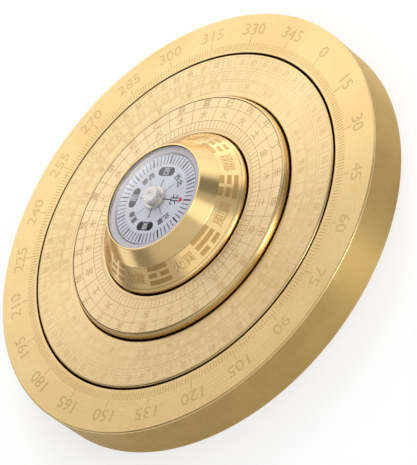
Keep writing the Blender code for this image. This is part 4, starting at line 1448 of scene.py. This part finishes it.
# %% [markdown]
# A punch forms the real hexagon socket. Here a six-sided cutter is taken away from the turned
# screw by a Boolean modifier. One screw is enough, because the tree sets down all six.

# %% Sockets and six screws
SCREW_COUNT = 6
SOCKET_RADIUS = 0.52 * MM
SOCKET_DEPTH = 0.6 * MM


def socket_cutter(low, high):
    shape = bmesh.new()
    bmesh.ops.create_cone(shape, cap_ends=True, segments=6, radius1=SOCKET_RADIUS,
                          radius2=SOCKET_RADIUS, depth=high - low,
                          matrix=Matrix.Translation((0, 0, (low + high) / 2)))
    mesh = bpy.data.meshes.new("socket")
    shape.to_mesh(mesh)
    shape.free()
    return in_scene("socket", mesh)


def socketed_screw(mesh, low, high):
    """Cut a hexagon socket into a turned screw."""
    work = in_scene("screw work", mesh)
    cutter = socket_cutter(low, high)
    cut = work.modifiers.new("socket", 'BOOLEAN')
    cut.operation = 'DIFFERENCE'
    cut.object = cutter
    result = bake(work, "screw")
    bpy.data.objects.remove(cutter)
    return in_scene("screw work", result)


add_copies("plate_screws_socketed", socketed_screw(screw_turned, -HEAD_HEIGHT, SOCKET_DEPTH),
           "plate_screw_1", SCREW_COUNT, low.z, ground_steel, "base")

# %% [markdown]
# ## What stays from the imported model
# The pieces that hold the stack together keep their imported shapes. They only need their finish:
# turned brass for the plate, steel for post, washer, spacers, races and pin, nylon for the cages,
# rubber under the capsule, a plated magnet and a ruby cup.

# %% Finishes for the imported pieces
FINISHES = {
    # The base plate shares the side wall's darker brass, whose colour is painted shade.
    side_brass_painted_shade: ["base_plate"],
    ground_steel: ["axle_post", "axle_washer", "axle_screw", "lower_spacer", "upper_spacer",
                   "pivot_pin"],
    bearing_steel: [f"{label}_bearing_{race}_race" for label in ("middle", "inner", "hub")
                    for race in ("inner", "outer")],
    nylon: [f"{label}_bearing_cage" for label in ("middle", "inner", "hub")],
    rubber: ["capsule_seat_ring"],
    nickel: ["card_magnet"],
    jewel_red: ["pivot_jewel"],
}

for material, nodes in FINISHES.items():
    for node in nodes:
        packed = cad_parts[node]
        for material_slot in packed.material_slots:
            material_slot.material = material
print("packed pieces with a finish:", sum(len(nodes) for nodes in FINISHES.values()))

# %% [markdown]
# ## Floor
# The compass stands on a pale paper sweep: a flat floor whose rim curves up far away, so that it
# also fills the background of a low view. The rim is low, so that the brass still sees the feet of
# the tent's walls over it. The paper is nearly white and keeps the shadow. To the camera, metal and
# glass it also looks partly lit from within, as paper does when a photographer exposes for white.

# %% Floor sweep
FLOOR_RADIUS = 4.0
SWEEP_RADIUS = 0.2
SWEEP_STEPS = 12
FLOOR_DROP = 0.02 * MM
GLOW_SHARE = 0.6
GLOW = 1.04


def floor_profile():
    return [(0, -FLOOR_DROP), (FLOOR_RADIUS, -FLOOR_DROP)] + arc(
        FLOOR_RADIUS, SWEEP_RADIUS - FLOOR_DROP, SWEEP_RADIUS, -90, 0, SWEEP_STEPS)


def lit_paper(share, white):
    """White paper that the camera, metal and glass see partly as a plain lit white."""
    material = grained("white paper sweep", "#FBFBFB", "#F9F9F9", 0.0, 0.8, 2.0 * MM, 0.0)
    tree = material.node_tree
    paper = next(node for node in tree.nodes if node.type == 'BSDF_PRINCIPLED')
    output = next(node for node in tree.nodes if node.type == 'OUTPUT_MATERIAL')
    ray = add_node(tree, "ShaderNodeLightPath").outputs
    seen = add_node(tree, "ShaderNodeMath", {"operation": 'MAXIMUM'},
                    {0: ray["Is Camera Ray"], 1: ray["Is Glossy Ray"]})
    seen = add_node(tree, "ShaderNodeMath", {"operation": 'MAXIMUM'},
                    {0: seen, 1: ray["Is Transmission Ray"]})
    part = add_node(tree, "ShaderNodeMath", {"operation": 'MULTIPLY'}, {0: seen, 1: share})
    glow = add_node(tree, "ShaderNodeEmission", inputs={"Strength": white})
    mixed = add_node(tree, "ShaderNodeMixShader", {},
                     {0: part, 1: paper, 2: glow})
    tree.links.new(mixed.outputs[0], output.inputs["Surface"])
    return material


floor = in_scene("floor", turned("floor", floor_profile(), steps=SMALL_STEPS, ring=False))
floor.data.materials.append(lit_paper(GLOW_SHARE, GLOW))
print("floor radius:", FLOOR_RADIUS, "m")
